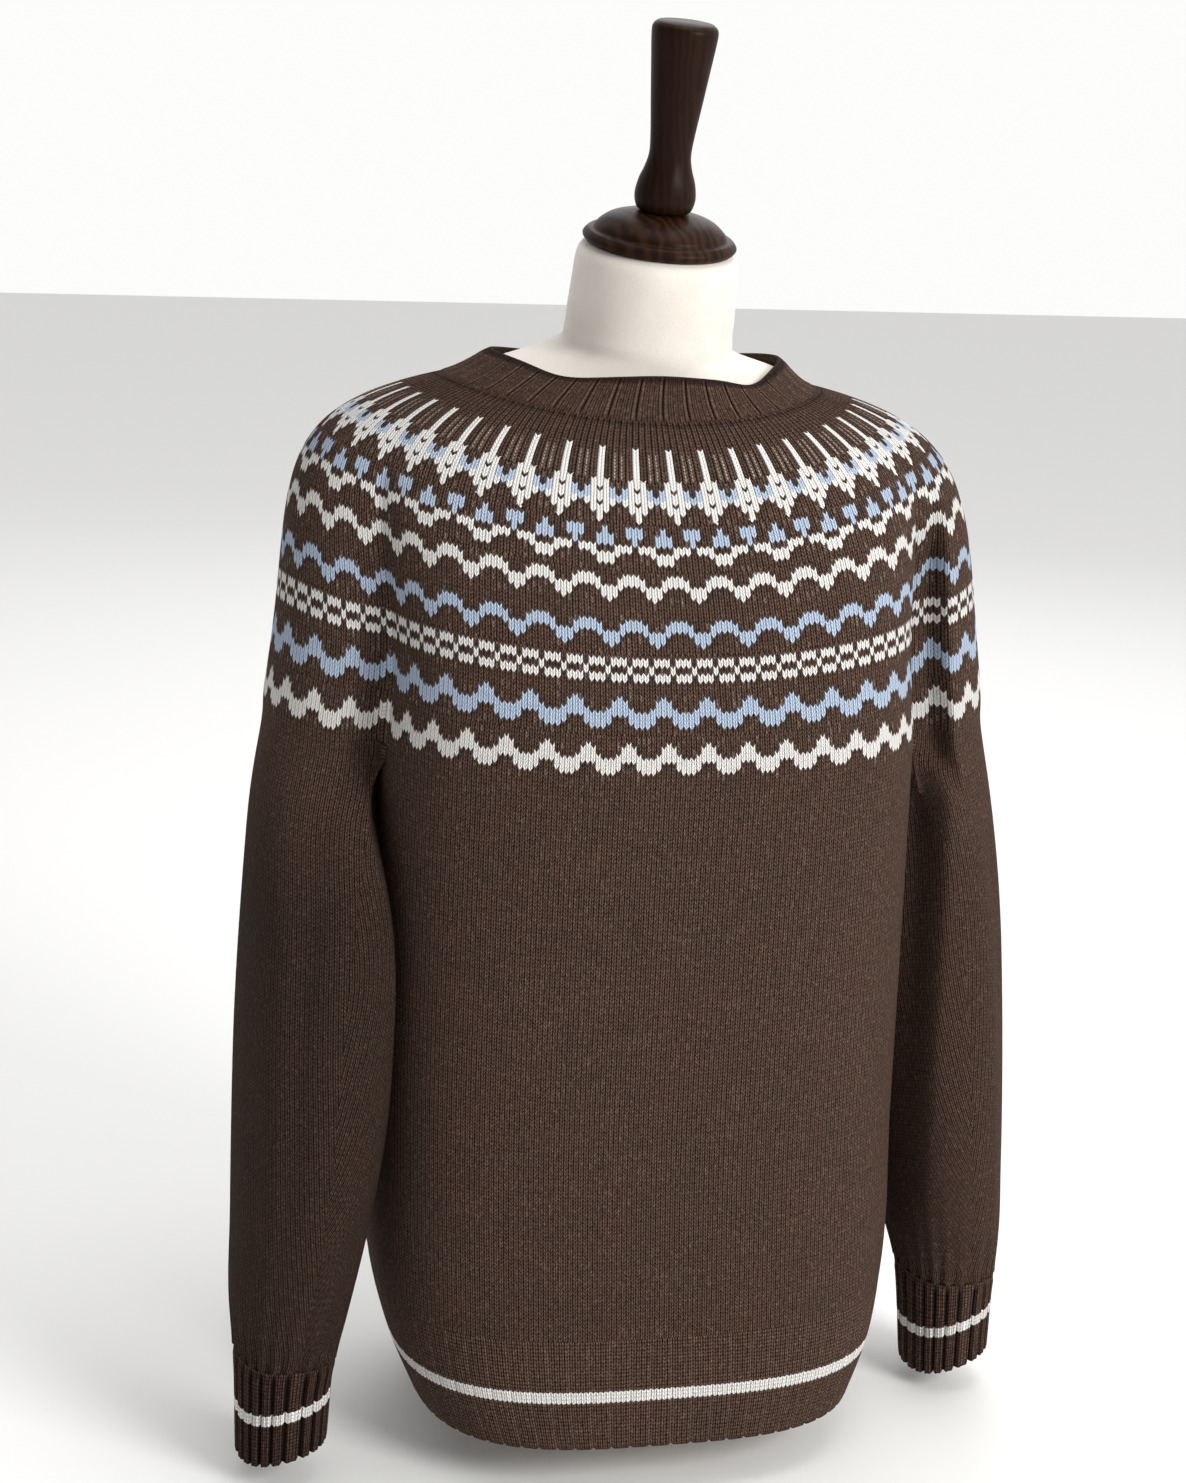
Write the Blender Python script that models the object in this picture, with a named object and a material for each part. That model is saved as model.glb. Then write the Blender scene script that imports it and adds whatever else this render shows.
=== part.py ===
import math

import bmesh
import bpy
import numpy as np
from mathutils import Euler, Matrix, Vector

# A knitted sweater with a round patterned yoke, on a limbless dress form with a turned wooden cap.
# Metres. The front faces -Y, the wearer's left is +X, and the form's flat base stands at z = 0.
# Angles round the garment run from +X (0) by the front (90 degrees) and -X (180) to the back (270).

# Knitted walls, the gap at a seam and the height of a rib
WALL = 0.0025
BAND_WALL = 0.0035
BAND_BEND = 0.4
SEAM_GAP = 0.0003
RIB_HEIGHT = 0.0009

# Ribs round each opening
NECK_RIBS = 44
HEM_RIBS = 80
CUFF_RIBS = 22

# Heights
HEM_Z = 0.034
HEM_RIB_TOP_Z = 0.112
CUFF_BOTTOM_Z = 0.020
CUFF_TOP_Z = 0.090
UNDERARM_Z = 0.506
UNDERARM_DIP = 0.014
FRONT_SEAM_DROP = 0.005
BACK_SEAM_DROP = 0.002
ARM_SEAM_RISE = 0.008

# Where the underarm starts, at the front and at the back, and the widest point of the arm there
ARMPIT_FRONT_Y = -0.052
ARMPIT_BACK_Y = 0.104
ARM_OUT_X = {1: 0.253, -1: 0.255}
ARM_POWER = 2.3

# Body, from the hem to the underarm: half width, depth before and behind the middle, and squareness
BODY_SECTIONS = (
    {"z": 0.034, "half_width": 0.158, "front": 0.148, "back": 0.124, "power": 3.2, "x": 0.006},
    {"z": 0.070, "half_width": 0.173, "front": 0.145, "back": 0.130, "power": 3.1, "x": 0.006},
    {"z": 0.112, "half_width": 0.182, "front": 0.142, "back": 0.132, "power": 3.0, "x": 0.005},
    {"z": 0.245, "half_width": 0.187, "front": 0.139, "back": 0.131, "power": 2.9, "x": 0.001},
    {"z": 0.400, "half_width": 0.186, "front": 0.142, "back": 0.130, "power": 2.9, "x": 0.000},
    {"z": 0.520, "half_width": 0.184, "front": 0.145, "back": 0.130, "power": 2.9, "x": 0.000},
)

# Sleeve, from the cuff to the underarm: middle, half width, half depth and forward swing
SLEEVE_SECTIONS = (
    {"z": 0.020, "x": 0.254, "y": -0.048, "half_width": 0.029, "half_depth": 0.031, "swing": 7.5},
    {"z": 0.090, "x": 0.251, "y": -0.044, "half_width": 0.033, "half_depth": 0.040, "swing": 7.5},
    {"z": 0.120, "x": 0.248, "y": -0.040, "half_width": 0.038, "half_depth": 0.050, "swing": 7.5},
    {"z": 0.180, "x": 0.240, "y": -0.034, "half_width": 0.044, "half_depth": 0.063, "swing": 7.5},
    {"z": 0.300, "x": 0.227, "y": -0.022, "half_width": 0.052, "half_depth": 0.074, "swing": 7.0},
    {"z": 0.420, "x": 0.215, "y": -0.004, "half_width": 0.053, "half_depth": 0.078, "swing": 4.6},
    {"z": 0.480, "x": 0.214, "y": 0.014, "half_width": 0.046, "half_depth": 0.079, "swing": 1.0},
    {"z": 0.540, "x": 0.213, "y": 0.026, "half_width": 0.037, "half_depth": 0.078, "swing": 0.0},
)
SLEEVE_POWER = 2.4
SLEEVE_SHIFT = -0.0035
SLEEVE_CLEARANCE = 0.0006
SLEEVE_PARTING = 0.004
SLEEVE_SETTLE = 0.4

# Seam between neckband and yoke, and the neckband's top edge
NECK_SEAM = {
    "x": -0.005, "y": 0.048, "half_width": 0.132, "front": 0.094, "back": 0.084, "tilt": -0.0025,
    "front_z": 0.720, "side_z": 0.737, "back_z": 0.722,
}
NECK_TOP = {
    "x": -0.001, "y": 0.050, "half_width": 0.102, "front": 0.078, "back": 0.064, "tilt": -0.001,
    "front_z": 0.742, "side_z": 0.755, "back_z": 0.746,
}

# Yoke, seen from above: the point that its lines run out from
YOKE_MIDDLE = (0.0, 0.020)

# Yoke, seen from the side: slope and reach at the neck seam, lean and reach at the lower edge
YOKE_SHAPE = {
    "slope": {"front": 46.0, "side": 13.0, "back": 44.0},
    "reach": {"front": 0.060, "side": 0.134, "back": 0.055},
    "lean": {"front": 6.0, "side": 9.0, "back": 4.0},
    "lift": {"front": 0.080, "side": 0.150, "back": 0.090},
}

# Dress form: torso rings, neck rings below the cap, and its clearance inside the cloth
TORSO_SECTIONS = (
    {"z": 0.000, "half_width": 0.078, "front": 0.066, "back": 0.066, "power": 2.3},
    {"z": 0.012, "half_width": 0.100, "front": 0.082, "back": 0.082, "power": 2.3},
    {"z": 0.045, "half_width": 0.124, "front": 0.098, "back": 0.096, "power": 2.3},
    {"z": 0.110, "half_width": 0.140, "front": 0.108, "back": 0.104, "power": 2.3},
    {"z": 0.200, "half_width": 0.134, "front": 0.102, "back": 0.100, "power": 2.3},
    {"z": 0.290, "half_width": 0.122, "front": 0.094, "back": 0.092, "power": 2.3},
    {"z": 0.380, "half_width": 0.134, "front": 0.106, "back": 0.100, "power": 2.3},
    {"z": 0.460, "half_width": 0.150, "front": 0.122, "back": 0.108, "power": 2.3},
    {"z": 0.540, "half_width": 0.154, "front": 0.116, "back": 0.112, "power": 2.3},
)
NECK_SECTIONS = (
    {"drop": 0.0000, "half_width": 0.0480, "half_depth": 0.0480},
    {"drop": 0.0030, "half_width": 0.0525, "half_depth": 0.0520},
    {"drop": 0.0100, "half_width": 0.0550, "half_depth": 0.0545},
    {"drop": 0.0280, "half_width": 0.0560, "half_depth": 0.0555},
    {"drop": 0.0450, "half_width": 0.0570, "half_depth": 0.0555},
    {"drop": 0.0580, "half_width": 0.0575, "half_depth": 0.0560},
    {"drop": 0.0700, "half_width": 0.0630, "half_depth": 0.0560},
)
BAND_STEPS = (0.9, 0.45)
BAND_CLEARANCE = {"front": 0.006, "side": 0.0015, "back": 0.004}
SHOULDER_STEPS = (0.0, 0.2, 0.42, 0.64, 0.84, 1.0)
SHOULDER_END = {"front": 0.62, "side": 0.42, "back": 0.62}
FORM_CLEARANCE = {"front": 0.007, "side": 0.0015, "back": 0.004}

# Cap and handle, turned about one axis that leans forward and a little to the wearer's left
CAP_CENTRE = (0.006, 0.026, 0.828)
CAP_LEAN = (9.6, 2.2)
CAP_PROFILE = (
    {"radius": 0.0450, "height": 0.0000},
    {"radius": 0.0490, "height": 0.0006},
    {"radius": 0.0520, "height": 0.0045},
    {"radius": 0.0490, "height": 0.0086},
    {"radius": 0.0450, "height": 0.0098},
    {"radius": 0.0425, "height": 0.0135},
    {"radius": 0.0350, "height": 0.0190},
    {"radius": 0.0230, "height": 0.0225},
    {"radius": 0.0150, "height": 0.0240},
)
HANDLE_PROFILE = (
    {"radius": 0.0150, "height": 0.0243},
    {"radius": 0.0185, "height": 0.0262},
    {"radius": 0.0205, "height": 0.0340},
    {"radius": 0.0190, "height": 0.0440},
    {"radius": 0.0160, "height": 0.0525},
    {"radius": 0.0140, "height": 0.0620},
    {"radius": 0.0148, "height": 0.0755},
    {"radius": 0.0172, "height": 0.0965},
    {"radius": 0.0198, "height": 0.1200},
    {"radius": 0.0218, "height": 0.1390},
    {"radius": 0.0212, "height": 0.1445},
    {"radius": 0.0185, "height": 0.1470},
)
TURNING_STEPS = 28

# Move that sets the middle of the whole outline at x = 0, y = 0
PLACE = (-0.0016, 0.0006, 0.0)

# Mesh density
FRONT_COLUMNS = 24
BACK_COLUMNS = 22
ARM_COLUMNS = 16
UNDERARM_COLUMNS = 10
YOKE_ROWS = 11
BODY_ROWS = 7
SLEEVE_ROWS = 10
RIB_ROWS = 2
BAND_ROWS = 3

YARN = {"colour": (0.075, 0.045, 0.033, 1.0), "roughness": 0.95, "metallic": 0.0}
JERSEY = {"colour": (0.78, 0.74, 0.68, 1.0), "roughness": 0.9, "metallic": 0.0}
WOOD = {"colour": (0.045, 0.016, 0.010, 1.0), "roughness": 0.35, "metallic": 0.0}


# Helpers for tables, rings and curves


def table_value(table, name, place, at):
    knots = np.array([row[place] for row in table])
    values = np.array([row[name] for row in table])
    slopes = np.gradient(values, knots)
    at = np.clip(at, knots[0], knots[-1])
    low = np.clip(np.searchsorted(knots, at) - 1, 0, len(knots) - 2)
    span = knots[low + 1] - knots[low]
    t = (at - knots[low]) / span
    start = (1 + 2 * t) * (1 - t) ** 2 * values[low] + t * (1 - t) ** 2 * span * slopes[low]
    end = t * t * (3 - 2 * t) * values[low + 1] - t * t * (1 - t) * span * slopes[low + 1]
    return start + end


def squared_circle(angle, power):
    c, s = np.cos(angle), np.sin(angle)
    return np.sign(c) * np.abs(c) ** (2 / power), np.sign(s) * np.abs(s) ** (2 / power)


def by_direction(angle, sizes):
    s = np.sin(angle)
    far = np.where(s > 0, sizes["front"], sizes["back"])
    return sizes["side"] + (far - sizes["side"]) * s * s


def swell(t):
    t = 1 - np.abs(2 * t - 1)
    return t ** 3 * (10 - 15 * t + 6 * t * t)


def unit(vectors):
    return vectors / np.linalg.norm(vectors, axis=-1, keepdims=True)


def turned_about_z(x, y, degrees):
    a = np.radians(degrees)
    return x * np.cos(a) - y * np.sin(a), x * np.sin(a) + y * np.cos(a)


# Body


def body_point(angle, z):
    c, s = squared_circle(angle, table_value(BODY_SECTIONS, "power", "z", z))
    front = table_value(BODY_SECTIONS, "front", "z", z)
    back = table_value(BODY_SECTIONS, "back", "z", z)
    x = table_value(BODY_SECTIONS, "x", "z", z) + table_value(BODY_SECTIONS, "half_width", "z", z) * c
    return np.stack([x, -np.where(s > 0, front, back) * s, z + 0 * x], axis=-1)


def body_side(y, z, side):
    power = table_value(BODY_SECTIONS, "power", "z", z)
    front = table_value(BODY_SECTIONS, "front", "z", z)
    back = table_value(BODY_SECTIONS, "back", "z", z)
    share = np.clip(np.abs(y) / np.where(y < 0, front, back), 0, 1)
    half_width = table_value(BODY_SECTIONS, "half_width", "z", z) * (1 - share ** power) ** (1 / power)
    return half_width + side * table_value(BODY_SECTIONS, "x", "z", z)


def even_angles(start, end, count, z):
    fine = np.linspace(start, end, 721)
    steps = np.linalg.norm(np.diff(body_point(fine, z), axis=0), axis=1)
    length = np.concatenate([[0], np.cumsum(steps)])
    return np.interp(np.linspace(0, length[-1], count + 1), length, fine)


def angle_at(y, z):
    depth = table_value(BODY_SECTIONS, "front" if y < 0 else "back", "z", z)
    power = table_value(BODY_SECTIONS, "power", "z", z)
    return math.copysign(math.asin((abs(y) / depth) ** (power / 2)), -y)


FRONT_ANGLE = angle_at(ARMPIT_FRONT_Y, UNDERARM_Z)
BACK_ANGLE = -angle_at(ARMPIT_BACK_Y, UNDERARM_Z)


def underarm_angles():
    half = UNDERARM_COLUMNS // 2
    back_part = even_angles(-BACK_ANGLE, 0, half, UNDERARM_Z)
    front_part = even_angles(0, FRONT_ANGLE, half, UNDERARM_Z)
    return np.concatenate([back_part[:-1], front_part])


def underarm_z():
    return UNDERARM_Z - UNDERARM_DIP * swell(np.linspace(0, 1, UNDERARM_COLUMNS + 1))


# Yoke


def arm_arc(count, side):
    t = np.linspace(0, 1, count + 1)
    c, s = squared_circle(math.pi * (t - 0.5), ARM_POWER)
    armpit_x = body_point(np.array(FRONT_ANGLE), np.array(UNDERARM_Z))[0]
    back_x = body_point(np.array(-BACK_ANGLE), np.array(UNDERARM_Z))[0]
    inner_x = armpit_x + (back_x - armpit_x) * t
    middle = (ARMPIT_FRONT_Y + ARMPIT_BACK_Y) / 2
    half_depth = (ARMPIT_BACK_Y - ARMPIT_FRONT_Y) / 2
    x = side * (inner_x + (ARM_OUT_X[side] - inner_x) * c)
    return np.stack([x, middle + half_depth * s, UNDERARM_Z + ARM_SEAM_RISE * swell(t)], axis=-1)


def base_ring(front, back, arm):
    t = np.linspace(0, 1, front + 1)
    angles = even_angles(FRONT_ANGLE, math.pi - FRONT_ANGLE, front, UNDERARM_Z)
    front_arc = body_point(angles, UNDERARM_Z - FRONT_SEAM_DROP * swell(t))
    t = np.linspace(0, 1, back + 1)
    angles = even_angles(math.pi + BACK_ANGLE, 2 * math.pi - BACK_ANGLE, back, UNDERARM_Z)
    back_arc = body_point(angles, UNDERARM_Z - BACK_SEAM_DROP * swell(t))
    left_arm, right_arm = arm_arc(arm, 1), arm_arc(arm, -1)
    return np.concatenate([front_arc[:-1], right_arm[:-1], back_arc[:-1], left_arm[::-1][:-1]])


def neck_angles(ring, front):
    steps = np.linalg.norm(np.roll(ring, -1, axis=0) - ring, axis=1)
    travelled = np.concatenate([[0], np.cumsum(steps)[:-1]])
    middle = travelled[front // 2]
    return math.pi / 2 + 2 * math.pi * (travelled - middle) / steps.sum()


def ring_point(ring, angle):
    x = ring["x"] + ring["half_width"] * np.cos(angle)
    y = ring["y"] - np.where(np.sin(angle) > 0, ring["front"], ring["back"]) * np.sin(angle)
    heights = {side: ring[side + "_z"] for side in ("front", "side", "back")}
    z = by_direction(angle, heights) + ring["tilt"] * np.cos(angle)
    return np.stack([x, y, z], axis=-1)


FINE_FRONT = 240
FINE_BASE = base_ring(FINE_FRONT, 220, 160)
FINE_ANGLES = neck_angles(FINE_BASE, FINE_FRONT)


def base_at(angle):
    wrapped = np.mod(angle - FINE_ANGLES[0], 2 * math.pi) + FINE_ANGLES[0]
    angles = np.append(FINE_ANGLES, FINE_ANGLES[0] + 2 * math.pi)
    points = np.concatenate([FINE_BASE, FINE_BASE[:1]])
    return np.stack([np.interp(wrapped, angles, points[:, k]) for k in range(3)], axis=-1)


def slope_at_neck(angle, base):
    start = ring_point(NECK_SEAM, angle)
    out = unit(unit(base[..., :2] - YOKE_MIDDLE) + unit(start[..., :2] - YOKE_MIDDLE))
    slope = np.radians(by_direction(angle, YOKE_SHAPE["slope"]))[..., None]
    return start, out, np.concatenate([out * np.cos(slope), -np.sin(slope)], axis=-1)


def yoke_point(angle, base, along):
    start, out, down = slope_at_neck(angle, base)
    lean = np.radians(by_direction(angle, YOKE_SHAPE["lean"]))[..., None]
    up = np.concatenate([-out * np.sin(lean), np.cos(lean)], axis=-1)
    near_neck = start + down * by_direction(angle, YOKE_SHAPE["reach"])[..., None]
    near_base = base + up * by_direction(angle, YOKE_SHAPE["lift"])[..., None]
    t = along[..., None]
    return ((1 - t) ** 3 * start + 3 * t * (1 - t) ** 2 * near_neck
            + 3 * t * t * (1 - t) * near_base + t ** 3 * base)


def neck_seam_normal(angle):
    step = 0.002
    down = slope_at_neck(angle, base_at(angle))[2]
    round_ring = ring_point(NECK_SEAM, angle + step) - ring_point(NECK_SEAM, angle - step)
    return unit(np.cross(round_ring, down)), down


# Sleeves


def sleeve_point(turn, z, side):
    size = {name: table_value(SLEEVE_SECTIONS, name, "z", z)
            for name in ("x", "y", "half_width", "half_depth", "swing")}
    c, s = squared_circle(turn, SLEEVE_POWER)
    x = side * (size["x"] + size["half_width"] * c) + SLEEVE_SHIFT
    y = size["y"] + size["half_depth"] * s
    x, y = turned_about_z(x, y, size["swing"])
    return np.stack([x, y, z + 0 * x], axis=-1)


def beside_body(points, side, clearance):
    limit = body_side(points[..., 1], points[..., 2], side) + clearance
    inside = (side * points[..., 0] < limit) & (points[..., 2] > HEM_Z)
    moved = points.copy()
    moved[..., 0] = np.where(inside, side * limit, points[..., 0])
    return moved


def sleeve_grid(side):
    arc = arm_arc(ARM_COLUMNS, side)
    under = body_point(underarm_angles()[1:-1], underarm_z()[1:-1])
    under[:, 0] *= side
    arc[[0, -1], 0] += side * SLEEVE_CLEARANCE
    under[:, 0] += side * SLEEVE_CLEARANCE
    top = np.concatenate([arc, under])
    turn = np.concatenate([
        np.linspace(-math.pi / 2, math.pi / 2, ARM_COLUMNS + 1),
        np.linspace(math.pi / 2, 1.5 * math.pi, UNDERARM_COLUMNS + 1)[1:-1],
    ])
    fitted = top - sleeve_point(turn, top[:, 2], side)
    rows = [top]
    for t in np.linspace(0, 1, SLEEVE_ROWS + 1)[1:]:
        z = top[:, 2] + (CUFF_TOP_Z - top[:, 2]) * t
        fade = max(0.0, 1 - t / SLEEVE_SETTLE) ** 2
        row = sleeve_point(turn, z, side) + fitted * fade * np.array([1.0, 1.0, 0.0])
        clearance = SLEEVE_CLEARANCE + SLEEVE_PARTING * min(1.0, t / SLEEVE_SETTLE * 4)
        rows.append(beside_body(row, side, clearance))
    return np.array(rows)


# Walls: an outer grid and an inner one, joined by rims


def grid_normals(grid, closed):
    along = np.gradient(grid, axis=0)
    if closed:
        around = np.roll(grid, -1, axis=1) - np.roll(grid, 1, axis=1)
    else:
        around = np.gradient(grid, axis=1)
    return unit(np.cross(around, along))


def level(normals):
    return unit(normals * np.array([1.0, 1.0, 0.0]))


def ring_normals(ring):
    ahead = unit(np.roll(ring, -1, axis=0) - ring)
    behind = unit(ring - np.roll(ring, 1, axis=0))
    normal = level(np.cross(ahead + behind, np.array([0.0, 0.0, -1.0])))
    mitre = np.clip(np.sqrt((1 + (ahead * behind).sum(-1)) / 2), 0.7, 1.0)
    return normal / mitre[:, None]


def facing_out(normals, grid):
    middle = grid.mean(axis=1, keepdims=True)
    return normals * np.sign(((grid - middle) * normals).sum())


def ribbed(outer, normals):
    raised = outer.copy()
    raised[:, ::2] += normals[:, ::2] * RIB_HEIGHT
    return raised


def knit_material(name, look):
    material = bpy.data.materials.new(name)
    material.use_nodes = True
    shader = material.node_tree.nodes["Principled BSDF"]
    shader.inputs["Base Color"].default_value = look["colour"]
    shader.inputs["Roughness"].default_value = look["roughness"]
    shader.inputs["Metallic"].default_value = look["metallic"]
    return material


def finish(name, bm, look):
    bmesh.ops.translate(bm, verts=bm.verts, vec=PLACE)
    bmesh.ops.recalc_face_normals(bm, faces=bm.faces)
    mesh = bpy.data.meshes.new(name)
    bm.to_mesh(mesh)
    bm.free()
    mesh.shade_smooth()
    mesh.set_sharp_from_angle(angle=math.radians(50))
    mesh.materials.append(knit_material(name, look))
    thing = bpy.data.objects.new(name, mesh)
    bpy.context.collection.objects.link(thing)
    return thing


def add_rows(bm, grid):
    return [[bm.verts.new(point) for point in row] for row in grid]


def join_rows(bm, upper, lower, closed):
    count = len(upper)
    for i in range(count if closed else count - 1):
        j = (i + 1) % count
        bm.faces.new((upper[i], upper[j], lower[j], lower[i]))


def make_wall(name, outer, inner, look, closed=True):
    bm = bmesh.new()
    outside = add_rows(bm, outer)
    inside = add_rows(bm, inner)
    for sheet in (outside, inside):
        for upper, lower in zip(sheet, sheet[1:]):
            join_rows(bm, upper, lower, closed)
    join_rows(bm, outside[0], inside[0], closed)
    join_rows(bm, outside[-1], inside[-1], closed)
    if not closed:
        for end in (0, -1):
            join_rows(bm, [row[end] for row in outside], [row[end] for row in inside], False)
    return finish(name, bm, look)


# Pieces


def band_point(angle, t):
    start = ring_point(NECK_SEAM, angle)
    end = ring_point(NECK_TOP, angle)
    down = slope_at_neck(angle, base_at(angle))[2]
    bend = start - down * BAND_BEND * np.linalg.norm(end - start, axis=-1, keepdims=True)
    return (1 - t) ** 2 * start + 2 * t * (1 - t) * bend + t * t * end


def make_neckband():
    angle = np.linspace(0, 2 * math.pi, 2 * NECK_RIBS, endpoint=False)
    seam_normal, down = neck_seam_normal(angle)
    outer = np.array([band_point(angle, t) for t in np.linspace(0, 1, BAND_ROWS + 1)])
    outer[0] -= down * SEAM_GAP / 2
    normals = facing_out(grid_normals(outer, True), outer)
    normals[0] = seam_normal
    thickness = np.minimum(np.linspace(WALL, 2 * BAND_WALL, BAND_ROWS + 1), BAND_WALL)[:, None, None]
    inner = outer - normals * thickness
    return make_wall("neckband", ribbed(outer, normals)[::-1], inner[::-1], YARN)


def make_yoke():
    base = base_ring(FRONT_COLUMNS, BACK_COLUMNS, ARM_COLUMNS)
    angle = neck_angles(base, FRONT_COLUMNS)
    along = np.linspace(0, 1, YOKE_ROWS + 1)
    outer = np.array([yoke_point(angle, base, np.full(len(angle), t)) for t in along])
    normals = facing_out(grid_normals(outer, True), outer)
    seam_normal, down = neck_seam_normal(angle)
    normals[0] = seam_normal
    normals[-1] = -ring_normals(outer[-1])
    normals[-1] *= np.sign((normals[-1] * (outer[-1] - outer[-1].mean(axis=0))).sum())
    inner = outer - normals * WALL
    for grid in (outer, inner):
        grid[0] += down * SEAM_GAP / 2
        grid[-1, :, 2] += SEAM_GAP / 2
    return make_wall("yoke", outer, inner, YARN)


def body_columns():
    t = np.linspace(0, 1, FRONT_COLUMNS + 1)
    front = even_angles(FRONT_ANGLE, math.pi - FRONT_ANGLE, FRONT_COLUMNS, UNDERARM_Z)
    front_z = UNDERARM_Z - FRONT_SEAM_DROP * swell(t)
    t = np.linspace(0, 1, BACK_COLUMNS + 1)
    back = even_angles(math.pi + BACK_ANGLE, 2 * math.pi - BACK_ANGLE, BACK_COLUMNS, UNDERARM_Z)
    back_z = UNDERARM_Z - BACK_SEAM_DROP * swell(t)
    half = UNDERARM_COLUMNS // 2
    under, under_z = underarm_angles(), underarm_z()
    angles = np.concatenate([
        under[half:-1], front, (math.pi - under)[half:][::-1][1:], (math.pi - under)[:half][::-1],
        back[1:], 2 * math.pi + under[1:half],
    ])
    tops = np.concatenate([
        under_z[half:-1], front_z, under_z[half:][::-1][1:], under_z[:half][::-1],
        back_z[1:], under_z[1:half],
    ])
    return angles, tops


def make_body_panels():
    angles, tops = body_columns()
    along = np.linspace(0, 1, BODY_ROWS + 1)[:, None]
    z = tops + (HEM_RIB_TOP_Z - tops) * along
    outer = body_point(angles + 0 * z, z)
    normals = facing_out(grid_normals(outer, True), outer)
    for row in (0, -1):
        edge = ring_normals(outer[row])
        normals[row] = edge * np.sign((edge * (outer[row] - outer[row].mean(axis=0))).sum())
    inner = outer - normals * WALL
    for grid in (outer, inner):
        grid[0, :, 2] -= SEAM_GAP / 2
        grid[-1, :, 2] += SEAM_GAP / 2
    half = UNDERARM_COLUMNS // 2
    front_count = FRONT_COLUMNS + 2 * half
    columns = np.arange(len(angles))
    for name, picked, inward in (
        ("front", columns[:front_count + 1], -1),
        ("back", np.append(columns[front_count:], 0), 1),
    ):
        sheets = []
        for grid in (outer, inner):
            panel = grid[:, picked].copy()
            panel[:, [0, -1], 1] += inward * SEAM_GAP / 2
            sheets.append(panel)
        make_wall(name, sheets[0], sheets[1], YARN, closed=False)


def make_hem_rib():
    angles = even_angles(0, 2 * math.pi, 2 * HEM_RIBS, HEM_RIB_TOP_Z)[:-1]
    z = np.linspace(HEM_RIB_TOP_Z - SEAM_GAP / 2, HEM_Z, RIB_ROWS + 1)[:, None]
    outer = body_point(angles + 0 * z, z + 0 * angles)
    normals = level(facing_out(grid_normals(outer, True), outer))
    return make_wall("hem_rib", ribbed(outer, normals), outer - normals * WALL, YARN)


def make_sleeve(name, side):
    outer = sleeve_grid(side)
    normals = facing_out(grid_normals(outer, True), outer)
    for row in (0, -1):
        edge = ring_normals(outer[row])
        normals[row] = edge * np.sign((edge * (outer[row] - outer[row].mean(axis=0))).sum())
    inner = outer - normals * WALL
    for grid in (outer, inner):
        grid[0, :, 2] -= SEAM_GAP / 2
        grid[-1, :, 2] += SEAM_GAP / 2
    return make_wall(name, outer, inner, YARN)


def make_cuff(name, side):
    turn = np.linspace(0, 2 * math.pi, 2 * CUFF_RIBS, endpoint=False)
    z = np.linspace(CUFF_TOP_Z - SEAM_GAP / 2, CUFF_BOTTOM_Z, RIB_ROWS + 1)[:, None]
    outer = sleeve_point(turn + 0 * z, z + 0 * turn, side)
    normals = level(facing_out(grid_normals(outer, True), outer))
    return make_wall(name, ribbed(outer, normals), outer - normals * WALL, YARN)


def torso_row(angle, z):
    c, s = squared_circle(angle, table_value(TORSO_SECTIONS, "power", "z", z))
    front = table_value(TORSO_SECTIONS, "front", "z", z)
    back = table_value(TORSO_SECTIONS, "back", "z", z)
    x = table_value(TORSO_SECTIONS, "half_width", "z", z) * c
    return np.stack([x, -np.where(s > 0, front, back) * s, z + 0 * x], axis=-1)


def cap_matrix():
    lean = Euler((math.radians(CAP_LEAN[0]), math.radians(CAP_LEAN[1]), 0)).to_matrix().to_4x4()
    return Matrix.Translation(Vector(CAP_CENTRE)) @ lean


def neck_row(angle, section):
    place = cap_matrix()
    drop = -section["drop"] - SEAM_GAP
    flat = [(section["half_width"] * math.cos(a), -section["half_depth"] * math.sin(a), drop) for a in angle]
    return np.array([place @ Vector(point) for point in flat])


def inside_cloth(surface, at, depth):
    step = 0.004
    here = surface(at)
    along = surface(at + step) - here
    around = np.roll(here, -1, axis=0) - np.roll(here, 1, axis=0)
    normal = unit(np.cross(around, along))
    normal *= np.sign((normal * (here - here.mean(axis=0))).sum())
    return here - normal * depth[:, None]


def make_form():
    base = base_ring(FRONT_COLUMNS, BACK_COLUMNS, ARM_COLUMNS)
    angle = neck_angles(base, FRONT_COLUMNS)[::2]
    base = base[::2]
    ends = by_direction(angle, SHOULDER_END)
    rows = [neck_row(angle, section) for section in NECK_SECTIONS]
    for t in BAND_STEPS:
        depth = BAND_WALL + by_direction(angle, BAND_CLEARANCE)
        rows.append(inside_cloth(lambda at: band_point(angle, at), t, depth))
    for share in SHOULDER_STEPS:
        depth = WALL + by_direction(angle, FORM_CLEARANCE)
        rows.append(inside_cloth(lambda at: yoke_point(angle, base, at), ends * share, depth))
    for section in TORSO_SECTIONS[::-1]:
        rows.append(torso_row(angle, np.full(len(angle), section["z"])))
    bm = bmesh.new()
    sheet = add_rows(bm, rows)
    for upper, lower in zip(sheet, sheet[1:]):
        join_rows(bm, upper, lower, True)
    bm.faces.new(sheet[0])
    bm.faces.new(sheet[-1])
    return finish("form_torso", bm, JERSEY)


def make_turned(name, profile, look):
    bm = bmesh.new()
    outline = [(0.0, profile[0]["height"])]
    outline += [(row["radius"], row["height"]) for row in profile]
    outline += [(0.0, profile[-1]["height"])]
    verts = [bm.verts.new((radius, 0.0, height)) for radius, height in outline]
    edges = [bm.edges.new(pair) for pair in zip(verts, verts[1:])]
    bmesh.ops.spin(bm, geom=verts + edges, cent=(0, 0, 0), axis=(0, 0, 1), angle=2 * math.pi,
                   steps=TURNING_STEPS, use_merge=True)
    bmesh.ops.remove_doubles(bm, verts=bm.verts, dist=1e-6)
    bm.transform(cap_matrix())
    return finish(name, bm, look)


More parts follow.
